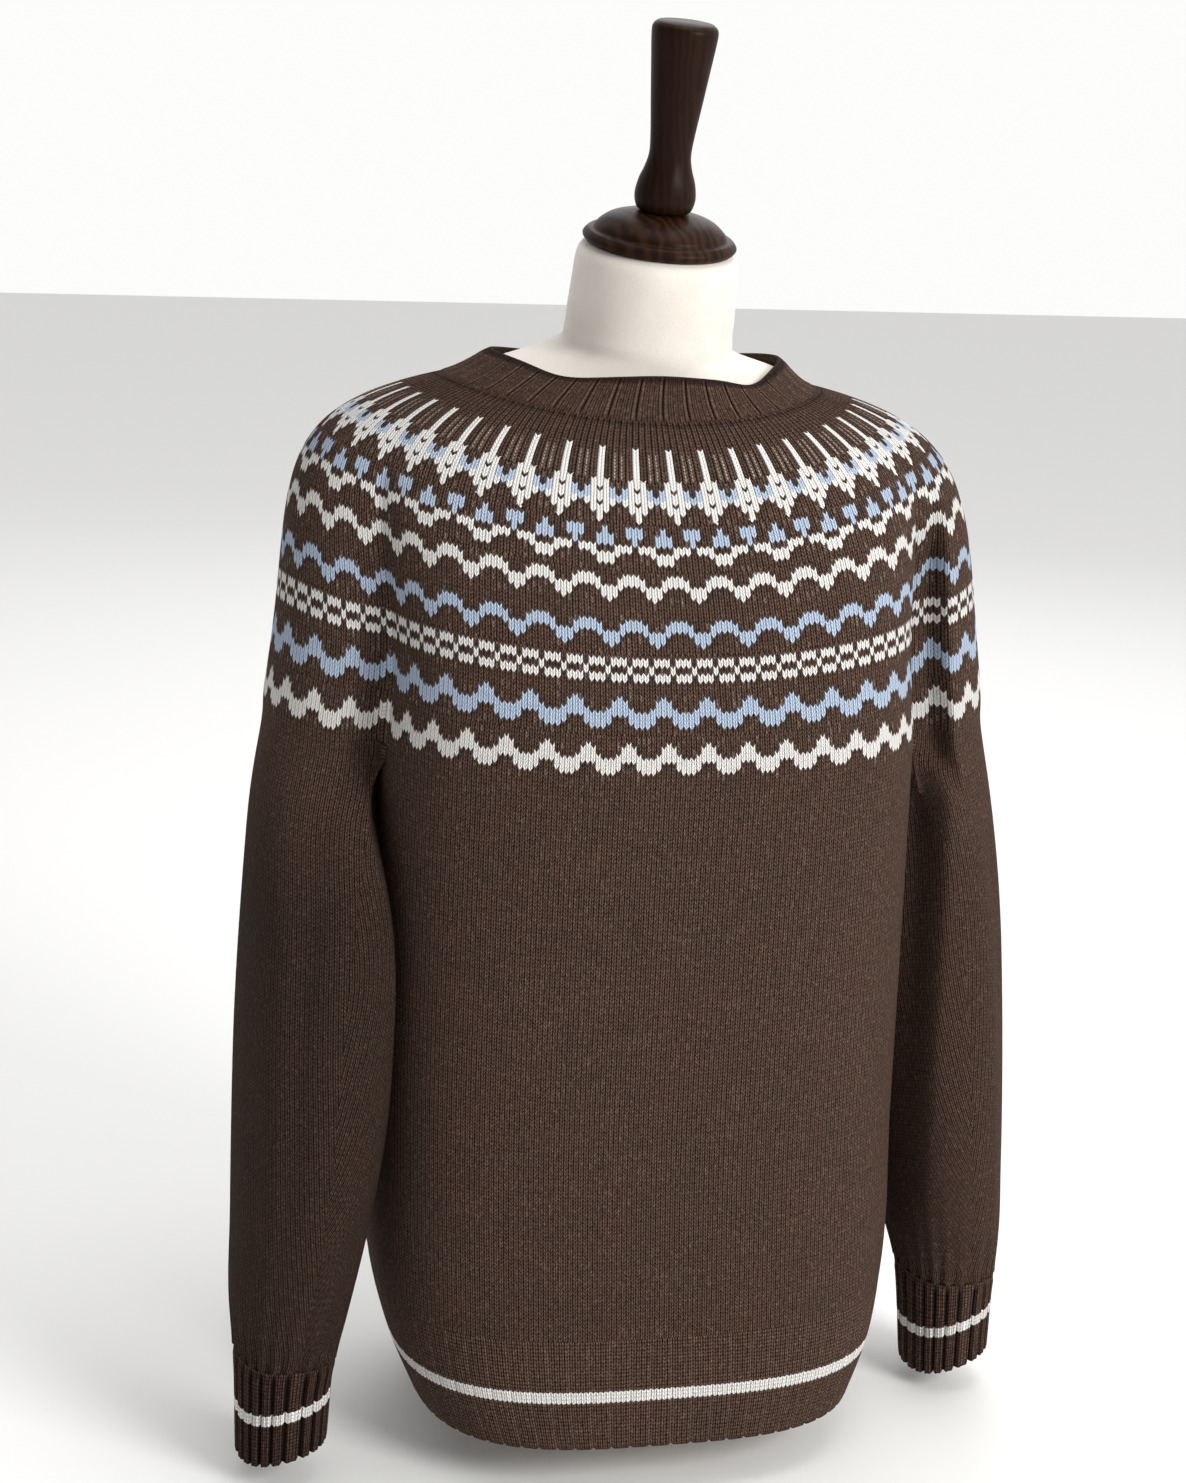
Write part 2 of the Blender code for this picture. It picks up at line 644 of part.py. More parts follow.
for old in list(bpy.data.objects):
    bpy.data.objects.remove(old, do_unlink=True)

make_neckband()
make_yoke()
make_body_panels()
make_hem_rib()
make_sleeve("sleeve_left", 1)
make_sleeve("sleeve_right", -1)
make_cuff("cuff_left", 1)
make_cuff("cuff_right", -1)
make_form()
make_turned("neck_cap", CAP_PROFILE, WOOD)
make_turned("cap_handle", HANDLE_PROFILE, WOOD)
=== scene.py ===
import math

import bmesh
import bpy
import numpy as np
from mathutils import Euler, Matrix, Vector


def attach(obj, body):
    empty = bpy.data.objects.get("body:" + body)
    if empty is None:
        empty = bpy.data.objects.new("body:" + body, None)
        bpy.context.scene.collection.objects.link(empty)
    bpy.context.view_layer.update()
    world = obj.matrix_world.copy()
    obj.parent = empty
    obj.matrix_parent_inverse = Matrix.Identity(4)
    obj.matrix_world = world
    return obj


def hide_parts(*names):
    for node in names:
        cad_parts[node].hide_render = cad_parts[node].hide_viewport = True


# Knitted yoke sweater on a limbless dress form. Metres; the front faces -Y and the wearer's left is +X.
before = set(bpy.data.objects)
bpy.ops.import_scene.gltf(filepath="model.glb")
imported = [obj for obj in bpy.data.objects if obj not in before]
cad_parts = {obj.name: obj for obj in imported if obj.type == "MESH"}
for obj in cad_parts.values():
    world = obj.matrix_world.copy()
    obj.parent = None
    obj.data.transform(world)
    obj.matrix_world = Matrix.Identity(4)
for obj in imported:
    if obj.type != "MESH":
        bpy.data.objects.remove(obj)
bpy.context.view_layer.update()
print("frame loaded")

# Whole outline's middle, as in the solids
place = np.array([-0.0016, 0.0006, 0.0])


def tableOf(names, *rows):
    return tuple(dict(zip(names.split(), row)) for row in rows)


# camera, light and floor

view = {
    "eye": (-0.4185, -1.6928, 0.9391), "turn": 12.84, "pitch": 14.41, "roll": 2.379,
    "focus": 2601.0, "frameWidth": 1186.0, "sensor": 36.0,
    "clip": (0.05, 50.0),
}
studio = {
    "lights": tableOf(
        "name at size power tint",
        ("key", (1.75, -2.4, 1.9), 1.5, 80.0, (1.0, 0.985, 0.96)),
        ("fill", (-2.0, -2.2, 1.2), 2.0, 5.0, (0.97, 0.985, 1.0)),
        ("top", (0.4, 0.0, 3.0), 1.6, 20.0, (1.0, 1.0, 1.0)),
        ("back", (0.8, 2.6, 2.0), 2.0, 14.0, (1.0, 1.0, 1.0)),
    ),
    "aim": (0.0, 0.0, 0.5), "world": (1.0, 0.997, 0.99), "brightWay": (0.6, 0.75, 0.28),
    "bright": {"From Min": -0.8, "From Max": 0.6, "To Min": 0.17, "To Max": 0.98},
    "floor": (0.90, 0.895, 0.885), "floorRoughness": 0.8, "floorSize": 9.0,
}


def linked(name, data):
    item = bpy.data.objects.new(name, data)
    bpy.context.scene.collection.objects.link(item)
    return item


def placeCamera():
    turn, pitch, roll = (math.radians(view[name]) for name in ("turn", "pitch", "roll"))
    ahead = Vector((math.sin(turn) * math.cos(pitch), math.cos(turn) * math.cos(pitch), -math.sin(pitch)))
    right = Vector((math.cos(turn), -math.sin(turn), 0.0))
    up = right.cross(ahead)
    across = math.cos(roll) * right + math.sin(roll) * up
    upward = math.cos(roll) * up - math.sin(roll) * right
    lens = bpy.data.cameras.new("camera")
    lens.sensor_fit = "HORIZONTAL"
    lens.sensor_width = view["sensor"]
    lens.lens = view["focus"] / view["frameWidth"] * view["sensor"]
    lens.clip_start, lens.clip_end = view["clip"]
    camera = linked("camera", lens)
    turned = Matrix((across, upward, -ahead)).transposed().to_4x4()
    camera.matrix_world = Matrix.Translation(Vector(view["eye"])) @ turned
    bpy.context.scene.camera = camera


def placeLights():
    aim = Vector(studio["aim"])
    for facts in studio["lights"]:
        light = bpy.data.lights.new(facts["name"], "AREA")
        light.shape, light.size = "DISK", facts["size"]
        light.energy, light.color = facts["power"], facts["tint"]
        lamp = linked(facts["name"], light)
        lamp.location = facts["at"]
        lamp.rotation_euler = (aim - lamp.location).to_track_quat("-Z", "Y").to_euler()
    world = bpy.data.worlds.new("studio")
    bpy.context.scene.world = world
    world.use_nodes = True
    tree = world.node_tree
    # brighter behind the form than in front of it
    way = outputs(tree, "TexCoord", {})["Generated"]
    towards = outputs(tree, "VectorMath", {0: way, 1: studio["brightWay"]}, operation="DOT_PRODUCT")["Value"]
    strength = outputs(tree, "MapRange", {"Value": towards, **studio["bright"]},
                       interpolation_type="SMOOTHSTEP")[0]
    fill(tree, tree.nodes["Background"], {"Color": studio["world"], "Strength": strength})


def makeFloor():
    bm = bmesh.new()
    bmesh.ops.create_grid(bm, x_segments=12, y_segments=12, size=studio["floorSize"])
    mesh = bpy.data.meshes.new("floor")
    bm.to_mesh(mesh)
    bm.free()
    floor = linked("floor", mesh)
    paint, tree, shader = newMaterial("floorPaint")
    fill(tree, shader, {"Base Color": studio["floor"], "Roughness": studio["floorRoughness"]})
    mesh.materials.append(paint)


# node helpers


def newMaterial(name):
    material = bpy.data.materials.new(name)
    material.use_nodes = True
    return material, material.node_tree, material.node_tree.nodes["Principled BSDF"]


def fill(tree, node, inputs):
    # numbers and colours are written into a node's inputs, other nodes' outputs are linked to them
    for name, value in inputs.items():
        socket = node.inputs[name]
        if isinstance(value, (int, float)):
            socket.default_value = value
        elif isinstance(value, tuple):
            socket.default_value = value if len(value) == len(socket.default_value) else (*value, 1.0)
        else:
            tree.links.new(value, socket)


def outputs(tree, kind, inputs, **settings):
    node = tree.nodes.new("ShaderNode" + kind)
    for name, value in settings.items():
        setattr(node, name, value)
    fill(tree, node, inputs)
    return node.outputs


def maths(tree, operation, *values):
    return outputs(tree, "Math", dict(enumerate(values)), operation=operation)[0]


def times(tree, *values):
    return maths(tree, "MULTIPLY", *values)


def scaled(tree, value, factor, more):
    return maths(tree, "MULTIPLY_ADD", value, factor, more)


def mixColours(tree, share, first, second):
    return outputs(tree, "Mix", {"Factor": share, 6: first, 7: second}, data_type="RGBA")[2]


def between(tree, value, low, high):
    return outputs(tree, "MapRange", {"Value": value, "From Min": low, "From Max": high})[0]


def noise(tree, vector, scale, detail, roughness):
    inputs = {"Vector": vector, "Scale": scale, "Detail": detail, "Roughness": roughness}
    return outputs(tree, "TexNoise", inputs)["Fac"]


def attribute(tree, name):
    return outputs(tree, "Attribute", {}, attribute_name=name)["Fac"]


def objectPoint(tree, scale=(1.0, 1.0, 1.0), turn=(0.0, 0.0, 0.0), shift=(0.0, 0.0, 0.0)):
    point = outputs(tree, "TexCoord", {})["Object"]
    return outputs(tree, "Mapping", {"Vector": point, "Scale": scale, "Rotation": turn, "Location": shift})[0]


def bump(tree, height, distance, strength=1.0):
    return outputs(tree, "Bump", {"Strength": strength, "Distance": distance, "Height": height})[0]


# yarn: heather brown with pale cream and pale blue, knitted in plain stitches

yarn = {
    # dark is the dark flecks' colour and also the painted shade in grooves; the two shade colours below are
    # cream and blue in painted shade
    "warm": (0.094, 0.047, 0.034), "grey": (0.074, 0.047, 0.034), "dark": (0.010, 0.0052, 0.0036),
    "pale": (0.27, 0.185, 0.145), "float": (0.72, 0.62, 0.55), "cream": (0.96, 0.945, 0.925),
    "creamInPaintedShade": (0.60, 0.57, 0.53),
    "blue": (0.56, 0.67, 0.84), "blueInPaintedShade": (0.26, 0.33, 0.46),
    # where a shade starts, where it is full, and its strength; the pale on the stitches' raised tops is a
    # painted highlight
    "paleFlecks": (0.54, 0.70, 0.6), "darkFlecks": (0.46, 0.30, 0.75), "paintedHighlightTops": (0.62, 1.0, 0.3),
    # a stitch's relief: how round its legs and rows are, and the groove between stitches
    "relief": 0.0016, "legRound": 0.75, "rowRound": 0.7, "rowPower": 2.5, "groove": 0.5, "groovePower": 5.0,
    # noises: scale, detail and roughness
    "mottle": (38.0, 4.0, 0.65), "heather": (620.0, 2.0, 0.65), "fibres": (1700.0, 2.0, 0.7),
    # a float's thread fades from its middle to its side and along the row
    "threadWidth": (0.34, 0.08), "threadLength": (0.9, 0.5),
    "shader": {"Roughness": 0.95, "Specular IOR Level": 0.06, "Sheen Weight": 0.04,
               "Sheen Roughness": 0.5, "Sheen Tint": (0.45, 0.32, 0.25)},
}


def flecks(tree, value, start, full, strength):
    return times(tree, between(tree, value, start, full), strength)


def knitMaterial(name, slant, contrast=1.0):
    material, tree, shader = newMaterial(name)
    stitch = outputs(tree, "UVMap", {}, uv_map="knit")[0]
    across, down = outputs(tree, "SeparateXYZ", {0: stitch})[:2]
    # a stitch is a V of two legs: fromMiddle is 0 between its legs and 1 at its sides
    fromMiddle = maths(tree, "ABSOLUTE", scaled(tree, maths(tree, "FRACT", across), 2.0, -1.0))
    leg = scaled(tree, fromMiddle, 2.0, -1.0)
    row = maths(tree, "FRACT", scaled(tree, fromMiddle, slant, down))
    along = maths(tree, "ABSOLUTE", scaled(tree, row, 2.0, -1.0))
    legRound = maths(tree, "SUBTRACT", 1.0, times(tree, maths(tree, "POWER", leg, 2.0), yarn["legRound"]))
    rowRound = scaled(tree, maths(tree, "POWER", along, yarn["rowPower"]), -yarn["rowRound"], 1.0)
    groove = times(tree, maths(tree, "POWER", fromMiddle, yarn["groovePower"]), yarn["groove"])
    height = maths(tree, "SUBTRACT", times(tree, legRound, rowRound), groove)
    # fibres: fine ones inside a stitch, soft mottling over several
    mottle = noise(tree, objectPoint(tree), *yarn["mottle"])
    heather = noise(tree, objectPoint(tree, scale=(1.0, 1.0, 0.6)), *yarn["heather"])
    fibres = noise(tree, objectPoint(tree, scale=(1.0, 1.0, 0.4), shift=(0.3, 0.1, 0.2)), *yarn["fibres"])
    full = scaled(tree, fibres, 0.35, times(tree, height, 0.85))
    brown = mixColours(tree, between(tree, mottle, 0.35, 0.65), yarn["warm"], yarn["grey"])
    brown = mixColours(tree, flecks(tree, heather, *yarn["paleFlecks"]), brown, yarn["pale"])
    brown = mixColours(tree, flecks(tree, heather, *yarn["darkFlecks"]), brown, yarn["dark"])
    # painted shade: depth is low in the grooves between and inside stitches, and there the yarn is mixed
    # towards dark
    depth = between(tree, full, 0.1 - 0.5 * (1 - contrast), 0.75)
    # painted highlight: the raised tops of the stitches are mixed towards pale
    start, end, strength = yarn["paintedHighlightTops"]
    brown = mixColours(tree, flecks(tree, full, start, end, strength * contrast), brown, yarn["pale"])
    # tone, set on each point, paints light where it is above zero and shade where it is below
    tone = attribute(tree, "tone")
    brown = mixColours(tree, between(tree, tone, 0.0, 1.6), brown, yarn["pale"])
    brown = mixColours(tree, depth, yarn["dark"], brown)
    brown = mixColours(tree, between(tree, tone, 0.0, -1.2), brown, yarn["dark"])
    # pale floats show as a broken thread in the middle of a stitch
    thread = times(tree, between(tree, fromMiddle, *yarn["threadWidth"]),
                   between(tree, along, *yarn["threadLength"]))
    brown = mixColours(tree, times(tree, thread, attribute(tree, "float")), brown, yarn["float"])
    # the same painted groove shade on the cream and blue yarns
    cream = mixColours(tree, depth, yarn["creamInPaintedShade"], yarn["cream"])
    blue = mixColours(tree, depth, yarn["blueInPaintedShade"], yarn["blue"])
    chart = attribute(tree, "yarn")
    isLight = maths(tree, "GREATER_THAN", chart, 0.5)
    isBlue = maths(tree, "GREATER_THAN", chart, 1.5)
    colour = mixColours(tree, isLight, brown, mixColours(tree, isBlue, cream, blue))
    normal = bump(tree, full, yarn["relief"] * contrast)
    fill(tree, shader, {"Base Color": colour, "Normal": normal, **yarn["shader"]})
    return material


# helpers for tables, rings and walls


def curveBetween(values, slopes, low, t, span=1.0):
    start = (1 + 2 * t) * (1 - t) ** 2 * values[low] + t * (1 - t) ** 2 * span * slopes[low]
    return start + t * t * (3 - 2 * t) * values[low + 1] - t * t * (1 - t) * span * slopes[low + 1]


def tableValue(rows, name, key, at):
    knots = np.array([row[key] for row in rows])
    values = np.array([row[name] for row in rows])
    slopes = np.gradient(values, knots)
    at = np.clip(at, knots[0], knots[-1])
    low = np.clip(np.searchsorted(knots, at) - 1, 0, len(knots) - 2)
    span = knots[low + 1] - knots[low]
    return curveBetween(values, slopes, low, (at - knots[low]) / span, span)


def squaredCircle(angle, power):
    c, s = np.cos(angle), np.sin(angle)
    return np.sign(c) * np.abs(c) ** (2 / power), np.sign(s) * np.abs(s) ** (2 / power)


def byDirection(angle, sizes):
    s = np.sin(angle)
    return sizes["side"] + (np.where(s > 0, sizes["front"], sizes["back"]) - sizes["side"]) * s * s


def swell(t):
    t = 1 - np.abs(2 * t - 1)
    return t ** 3 * (10 - 15 * t + 6 * t * t)


def smooth(t):
    t = np.clip(t, 0, 1)
    return t * t * (3 - 2 * t)


def lengthsAlong(points, axis=0):
    # lengths from the first point on
    steps = np.linalg.norm(np.diff(points, axis=axis), axis=-1)
    return np.concatenate([np.zeros_like(steps.take([0], axis)), np.cumsum(steps, axis=axis)], axis=axis)


def unit(vectors):
    return vectors / np.linalg.norm(vectors, axis=-1, keepdims=True)


def gridNormals(grid):
    # outward normals of a closed tube given as rows of points, last column meeting the first
    around = np.roll(grid, -1, axis=1) - np.roll(grid, 1, axis=1)
    normals = unit(np.cross(around, np.gradient(grid, axis=0)))
    return normals * np.sign(((grid - grid.mean(axis=1, keepdims=True)) * normals).sum())


# shapes shared by the pieces: body tube, sleeves, yoke


def sides(front, side, back):
    return {"front": front, "side": side, "back": back}


body = {
    "hemZ": 0.034, "ribTopZ": 0.112, "underarmZ": 0.506, "underarmDip": 0.014,
    "drop": {"front": 0.005, "back": 0.002}, "armRise": 0.008, "samples": 40001,
    "armpitFrontY": -0.052, "armpitBackY": 0.104, "armOutX": {1: 0.253, -1: 0.255}, "armPower": 2.3,
    "sections": tableOf(
        "z halfWidth front back power x",
        (0.034, 0.158, 0.148, 0.124, 3.2, 0.006),
        (0.070, 0.173, 0.145, 0.130, 3.1, 0.006),
        (0.112, 0.182, 0.142, 0.132, 3.0, 0.005),
        (0.245, 0.187, 0.139, 0.131, 2.9, 0.001),
        (0.400, 0.186, 0.142, 0.130, 2.9, 0.000),
        (0.520, 0.184, 0.145, 0.130, 2.9, 0.000),
    ),
}


def sectionAt(sections, z):
    return {name: tableValue(sections, name, "z", z) for name in sections[0]}


def bodyPoint(angle, z):
    at = sectionAt(body["sections"], z)
    c, s = squaredCircle(angle, at["power"])
    y = -np.where(s > 0, at["front"], at["back"]) * s
    return np.stack([at["x"] + at["halfWidth"] * c, y, z + 0 * c], axis=-1)


def bodySide(y, z, side):
    at = sectionAt(body["sections"], z)
    share = np.clip(np.abs(y) / np.where(y < 0, at["front"], at["back"]), 0, 1)
    return at["halfWidth"] * (1 - share ** at["power"]) ** (1 / at["power"]) + side * at["x"]


def evenAngles(start, end, count, z):
    fine = np.linspace(start, end, body["samples"])
    length = lengthsAlong(bodyPoint(fine, z))
    return np.interp(np.linspace(0, length[-1], count + 1), length, fine)


def angleAt(y, z):
    depth = tableValue(body["sections"], "front" if y < 0 else "back", "z", z)
    power = tableValue(body["sections"], "power", "z", z)
    return math.copysign(math.asin((abs(y) / depth) ** (power / 2)), -y)


frontAngle = angleAt(body["armpitFrontY"], body["underarmZ"])
backAngle = -angleAt(body["armpitBackY"], body["underarmZ"])


def underarmLine(count):
    half = count // 2
    back = evenAngles(-backAngle, 0, half, body["underarmZ"])
    front = evenAngles(0, frontAngle, half, body["underarmZ"])
    tops = body["underarmZ"] - body["underarmDip"] * swell(np.linspace(0, 1, count + 1))
    return np.concatenate([back[:-1], front]), tops


def armArc(count, side):
    t = np.linspace(0, 1, count + 1)
    c, s = squaredCircle(math.pi * (t - 0.5), body["armPower"])
    armpitX = bodyPoint(np.array(frontAngle), np.array(body["underarmZ"]))[0]
    backX = bodyPoint(np.array(-backAngle), np.array(body["underarmZ"]))[0]
    inner = armpitX + (backX - armpitX) * t
    middle = (body["armpitFrontY"] + body["armpitBackY"]) / 2
    x = side * (inner + (body["armOutX"][side] - inner) * c)
    y = middle + (body["armpitBackY"] - body["armpitFrontY"]) / 2 * s
    return np.stack([x, y, body["underarmZ"] + body["armRise"] * swell(t)], axis=-1)


def lowerEdge(name, count):
    # angles and heights of the yoke's lower edge across the front or back
    start, end = {"front": (frontAngle, math.pi - frontAngle),
                  "back": (math.pi + backAngle, 2 * math.pi - backAngle)}[name]
    z = body["underarmZ"]
    return evenAngles(start, end, count, z), z - body["drop"][name] * swell(np.linspace(0, 1, count + 1))


def yokeBase(front, back, arm):
    frontArc, backArc = bodyPoint(*lowerEdge("front", front)), bodyPoint(*lowerEdge("back", back))
    left, right = armArc(arm, 1), armArc(arm, -1)
    return np.concatenate([frontArc[:-1], right[:-1], backArc[:-1], left[::-1][:-1]])


neck = {
    "seam": {"x": -0.005, "y": 0.048, "halfWidth": 0.132, "front": 0.094, "back": 0.084, "tilt": -0.0025,
             "z": sides(0.720, 0.737, 0.722)},
    "top": {"x": -0.001, "y": 0.050, "halfWidth": 0.102, "front": 0.078, "back": 0.064, "tilt": -0.001,
            "z": sides(0.742, 0.755, 0.746)},
    "bend": 0.4,
    # the rim lies nearly level at the front: place round in degrees, half width and lift
    "lifts": ((90.0, 22.0, 0.0049), (47.0, 14.0, -0.0065), (130.0, 14.0, -0.003)),
}
yokeShape = {
    "middle": (0.0, 0.020),
    "slope": sides(46.0, 13.0, 44.0),
    "reach": sides(0.060, 0.134, 0.055),
    "lean": sides(6.0, 9.0, 4.0),
    "lift": sides(0.080, 0.150, 0.090),
}
fineFront, fineBack, fineArm = 480, 440, 320
fineBase = yokeBase(fineFront, fineBack, fineArm)
fineSteps = np.linalg.norm(np.roll(fineBase, -1, axis=0) - fineBase, axis=1)
fineWay = np.concatenate([[0], np.cumsum(fineSteps)[:-1]])
fineAngles = math.pi / 2 + 2 * math.pi * (fineWay - fineWay[fineFront // 2]) / fineSteps.sum()


def baseAt(angle):
    wrapped = np.mod(angle - fineAngles[0], 2 * math.pi) + fineAngles[0]
    angles = np.append(fineAngles, fineAngles[0] + 2 * math.pi)
    points = np.concatenate([fineBase, fineBase[:1]])
    return np.stack([np.interp(wrapped, angles, points[:, k]) for k in range(3)], axis=-1)


def ringPoint(ring, angle):
    x = ring["x"] + ring["halfWidth"] * np.cos(angle)
    y = ring["y"] - np.where(np.sin(angle) > 0, ring["front"], ring["back"]) * np.sin(angle)
    return np.stack([x, y, byDirection(angle, ring["z"]) + ring["tilt"] * np.cos(angle)], axis=-1)


def slopeAtNeck(angle, base):
    start = ringPoint(neck["seam"], angle)
    out = unit(unit(base[..., :2] - yokeShape["middle"]) + unit(start[..., :2] - yokeShape["middle"]))
    slope = np.radians(byDirection(angle, yokeShape["slope"]))[..., None]
    return start, out, np.concatenate([out * np.cos(slope), -np.sin(slope)], axis=-1)


def yokePoint(angle, along):
    base = baseAt(angle)
    start, out, down = slopeAtNeck(angle, base)
    lean = np.radians(byDirection(angle, yokeShape["lean"]))[..., None]
    up = np.concatenate([-out * np.sin(lean), np.cos(lean)], axis=-1)
    nearNeck = start + down * byDirection(angle, yokeShape["reach"])[..., None]
    nearBase = base + up * byDirection(angle, yokeShape["lift"])[..., None]
    t = along[..., None]
    s = 1 - t
    return s ** 3 * start + 3 * t * s ** 2 * nearNeck + 3 * t * t * s * nearBase + t ** 3 * base


def bandPoint(angle, t):
    start, end = ringPoint(neck["seam"], angle), ringPoint(neck["top"], angle)
    for at, width, lift in neck["lifts"]:
        away = (np.mod(np.degrees(angle) - at + 180, 360) - 180) / width
        end[..., 2] += lift * np.exp(-away ** 2)
    down = slopeAtNeck(angle, baseAt(angle))[2]
    bend = start - down * neck["bend"] * np.linalg.norm(end - start, axis=-1, keepdims=True)
    t = t[..., None]
    return (1 - t) ** 2 * start + 2 * t * (1 - t) * bend + t * t * end


sleeve = {
    "sections": tableOf(
        "z x y halfWidth halfDepth swing",
        (0.020, 0.254, -0.048, 0.029, 0.031, 7.5),
        (0.090, 0.251, -0.044, 0.033, 0.040, 7.5),
        (0.120, 0.248, -0.040, 0.038, 0.050, 7.5),
        (0.180, 0.240, -0.034, 0.044, 0.063, 7.5),
        (0.300, 0.227, -0.022, 0.052, 0.074, 7.0),
        (0.420, 0.215, -0.004, 0.053, 0.078, 4.6),
        (0.480, 0.214, 0.014, 0.046, 0.079, 1.0),
        (0.540, 0.213, 0.026, 0.037, 0.078, 0.0),
    ),
    "power": 2.4, "shift": -0.0035, "clearance": 0.0006, "parting": 0.004, "settle": 0.4,
    "cuffTopZ": 0.090, "cuffBottomZ": 0.020,
}


def sleevePoint(turn, z, side):
    at = sectionAt(sleeve["sections"], z)
    c, s = squaredCircle(turn, sleeve["power"])
    x = side * (at["x"] + at["halfWidth"] * c) + sleeve["shift"]
    y = at["y"] + at["halfDepth"] * s
    swing = np.radians(at["swing"])
    c, s = np.cos(swing), np.sin(swing)
    return np.stack([x * c - y * s, x * s + y * c, z + 0 * x], axis=-1)


def besideBody(points, side, clearance):
    limit = bodySide(points[..., 1], points[..., 2], side) + clearance
    inside = (side * points[..., 0] < limit) & (points[..., 2] > body["hemZ"])
    moved = points.copy()
    moved[..., 0] = np.where(inside, side * limit, points[..., 0])
    return moved


# knitted pieces: a fine outer sheet of stitches, a plain inner sheet, and rims that join them

wall = {
    "plain": 0.0025, "band": 0.0035, "row": 0.0026, "zigzag": 0.9, "ease": 0.02,
    "sharp": 65, "rollRow": 0.4,
}
halfGap = 0.00001  # half of what is left open at each seam


def newCloth():
    bm = bmesh.new()
    bm.loops.layers.uv.new("knit")
    bm.loops.layers.float.new("yarn")
    # tone darkens and lightens the yarn at each point; most of it is painted shade and painted highlight
    bm.verts.layers.float.new("tone")
    bm.verts.layers.float.new("float")
    return bm


def layGrid(bm, points, across, down, colours=None, tone=None, floats=None, closed=True, looped=False):
    # a flat grid is bent onto rows of points; across and down give each corner's stitch and row;
    # closed joins its sides, looped its first and last rows
    rows, columns = points.shape[0] - 1, points.shape[1] - (0 if closed else 1)
    uvLayer, yarnLayer = bm.loops.layers.uv["knit"], bm.loops.layers.float["yarn"]
    marks = ((bm.verts.layers.float["tone"], tone), (bm.verts.layers.float["float"], floats))
    across = np.broadcast_to(across, (rows + 1, columns + 1))
    down = np.broadcast_to(down, (rows + 1, columns + 1))
    made = bmesh.ops.create_grid(bm, x_segments=columns, y_segments=rows, size=1.0)["verts"]
    spot = {vert: (round((1 - vert.co.y) / 2 * rows), round((vert.co.x + 1) / 2 * columns)) for vert in made}
    for face in {face for vert in made for face in vert.link_faces}:
        corners = [spot[vert] for vert in face.verts]
        row, column = min(c[0] for c in corners), min(c[1] for c in corners)
        colour = float(colours[row, column]) if colours is not None and row < len(colours) else 0.0
        for loop, (i, j) in zip(face.loops, [spot[loop.vert] for loop in face.loops]):
            loop[uvLayer].uv = (across[i, j], down[i, j])
            loop[yarnLayer] = colour
    for vert, (i, j) in spot.items():
        vert.co = points[i, j % points.shape[1]]
        for layer, values in marks:
            if values is not None and i < len(values):
                vert[layer] = values[i, j % values.shape[1]]
    if closed:
        edge = [vert for vert, (i, j) in spot.items() if j in (0, columns) or looped and i in (0, rows)]
        bmesh.ops.remove_doubles(bm, verts=edge, dist=1e-7)
    ends = []
    for last in (0, rows):
        ring = {vert for vert in made if vert.is_valid and spot[vert][0] == last}
        edges = [edge for vert in ring for edge in vert.link_edges
                 if edge.is_boundary and edge.other_vert(vert) in ring]
        ends.append(list(dict.fromkeys(edges)))
    return ends


def bridgeRows(bm, upper, lower, stitches, shift, row):
    # one row of stitches between two parts; its places are read from the rows that it joins;
    # shift is how far round the lower part's first stitch stands from the upper part's
    uvLayer = bm.loops.layers.uv["knit"]
    share, part = {}, {}
    for ring, counted, start, at in ((upper, stitches[0], 0.0, row), (lower, stitches[1], shift, row + 1)):
        for edge in ring:
            for loop in edge.link_loops:
                for corner in (loop, loop.link_loop_next):
                    share[corner.vert] = (corner[uvLayer].uv.x / counted + start) % 1.0
                part[loop.vert] = part[loop.link_loop_next.vert] = at
    for face in bmesh.ops.bridge_loops(bm, edges=upper + lower)["faces"]:
        places = [share[loop.vert] for loop in face.loops]
        crosses = max(places) - min(places) > 0.5
        for loop, spot in zip(face.loops, places):
            loop[uvLayer].uv = ((spot + (crosses and spot < 0.5)) * stitches[0], part[loop.vert])


def addPiece(name, bm, material, node, sharp):
    bmesh.ops.recalc_face_normals(bm, faces=bm.faces)
    bmesh.ops.translate(bm, verts=bm.verts, vec=place)
    mesh = bpy.data.meshes.new(name)
    bm.to_mesh(mesh)
    bm.free()
    mesh.shade_smooth()
    mesh.set_sharp_from_angle(angle=math.radians(sharp))
    mesh.materials.append(material)
    piece = linked(name, mesh)
    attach(piece, "root")
    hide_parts(node)
    print(name, "made,", len(mesh.polygons), "faces")
    return piece


def finishCloth(name, bm, material, node):
    piece = addPiece(name, bm, material, node, wall["sharp"])


def ringOf(points, closed):
    return np.concatenate([points, points[:, :1]], axis=1) if closed else points


def wayAcross(points, closed, start, count):
    # stitches counted along each row from one column, at the yoke's stitch width
    way = lengthsAlong(ringOf(points, closed), 1)
    return (way - way[:, start:start + 1]) / fineSteps.sum() * yoke["lastStitches"] + count


def wayDown(points, closed):
    return lengthsAlong(ringOf(points, closed)) / wall["row"] - wall["zigzag"] / 2


def yokeCount(index):
    # stitches counted round the yoke's lower edge as far as one of its points
    share = (fineAngles[index] + math.pi / 2) / (2 * math.pi)
    return (share - yoke["bandCentre"]) * yoke["lastStitches"] + 0.5


def stitchWave(columns, perStitch):
    # 0 at a stitch's edges, 1 at its middle
    return 1 - np.abs(2 * (np.arange(columns) % perStitch) / perStitch - 1)


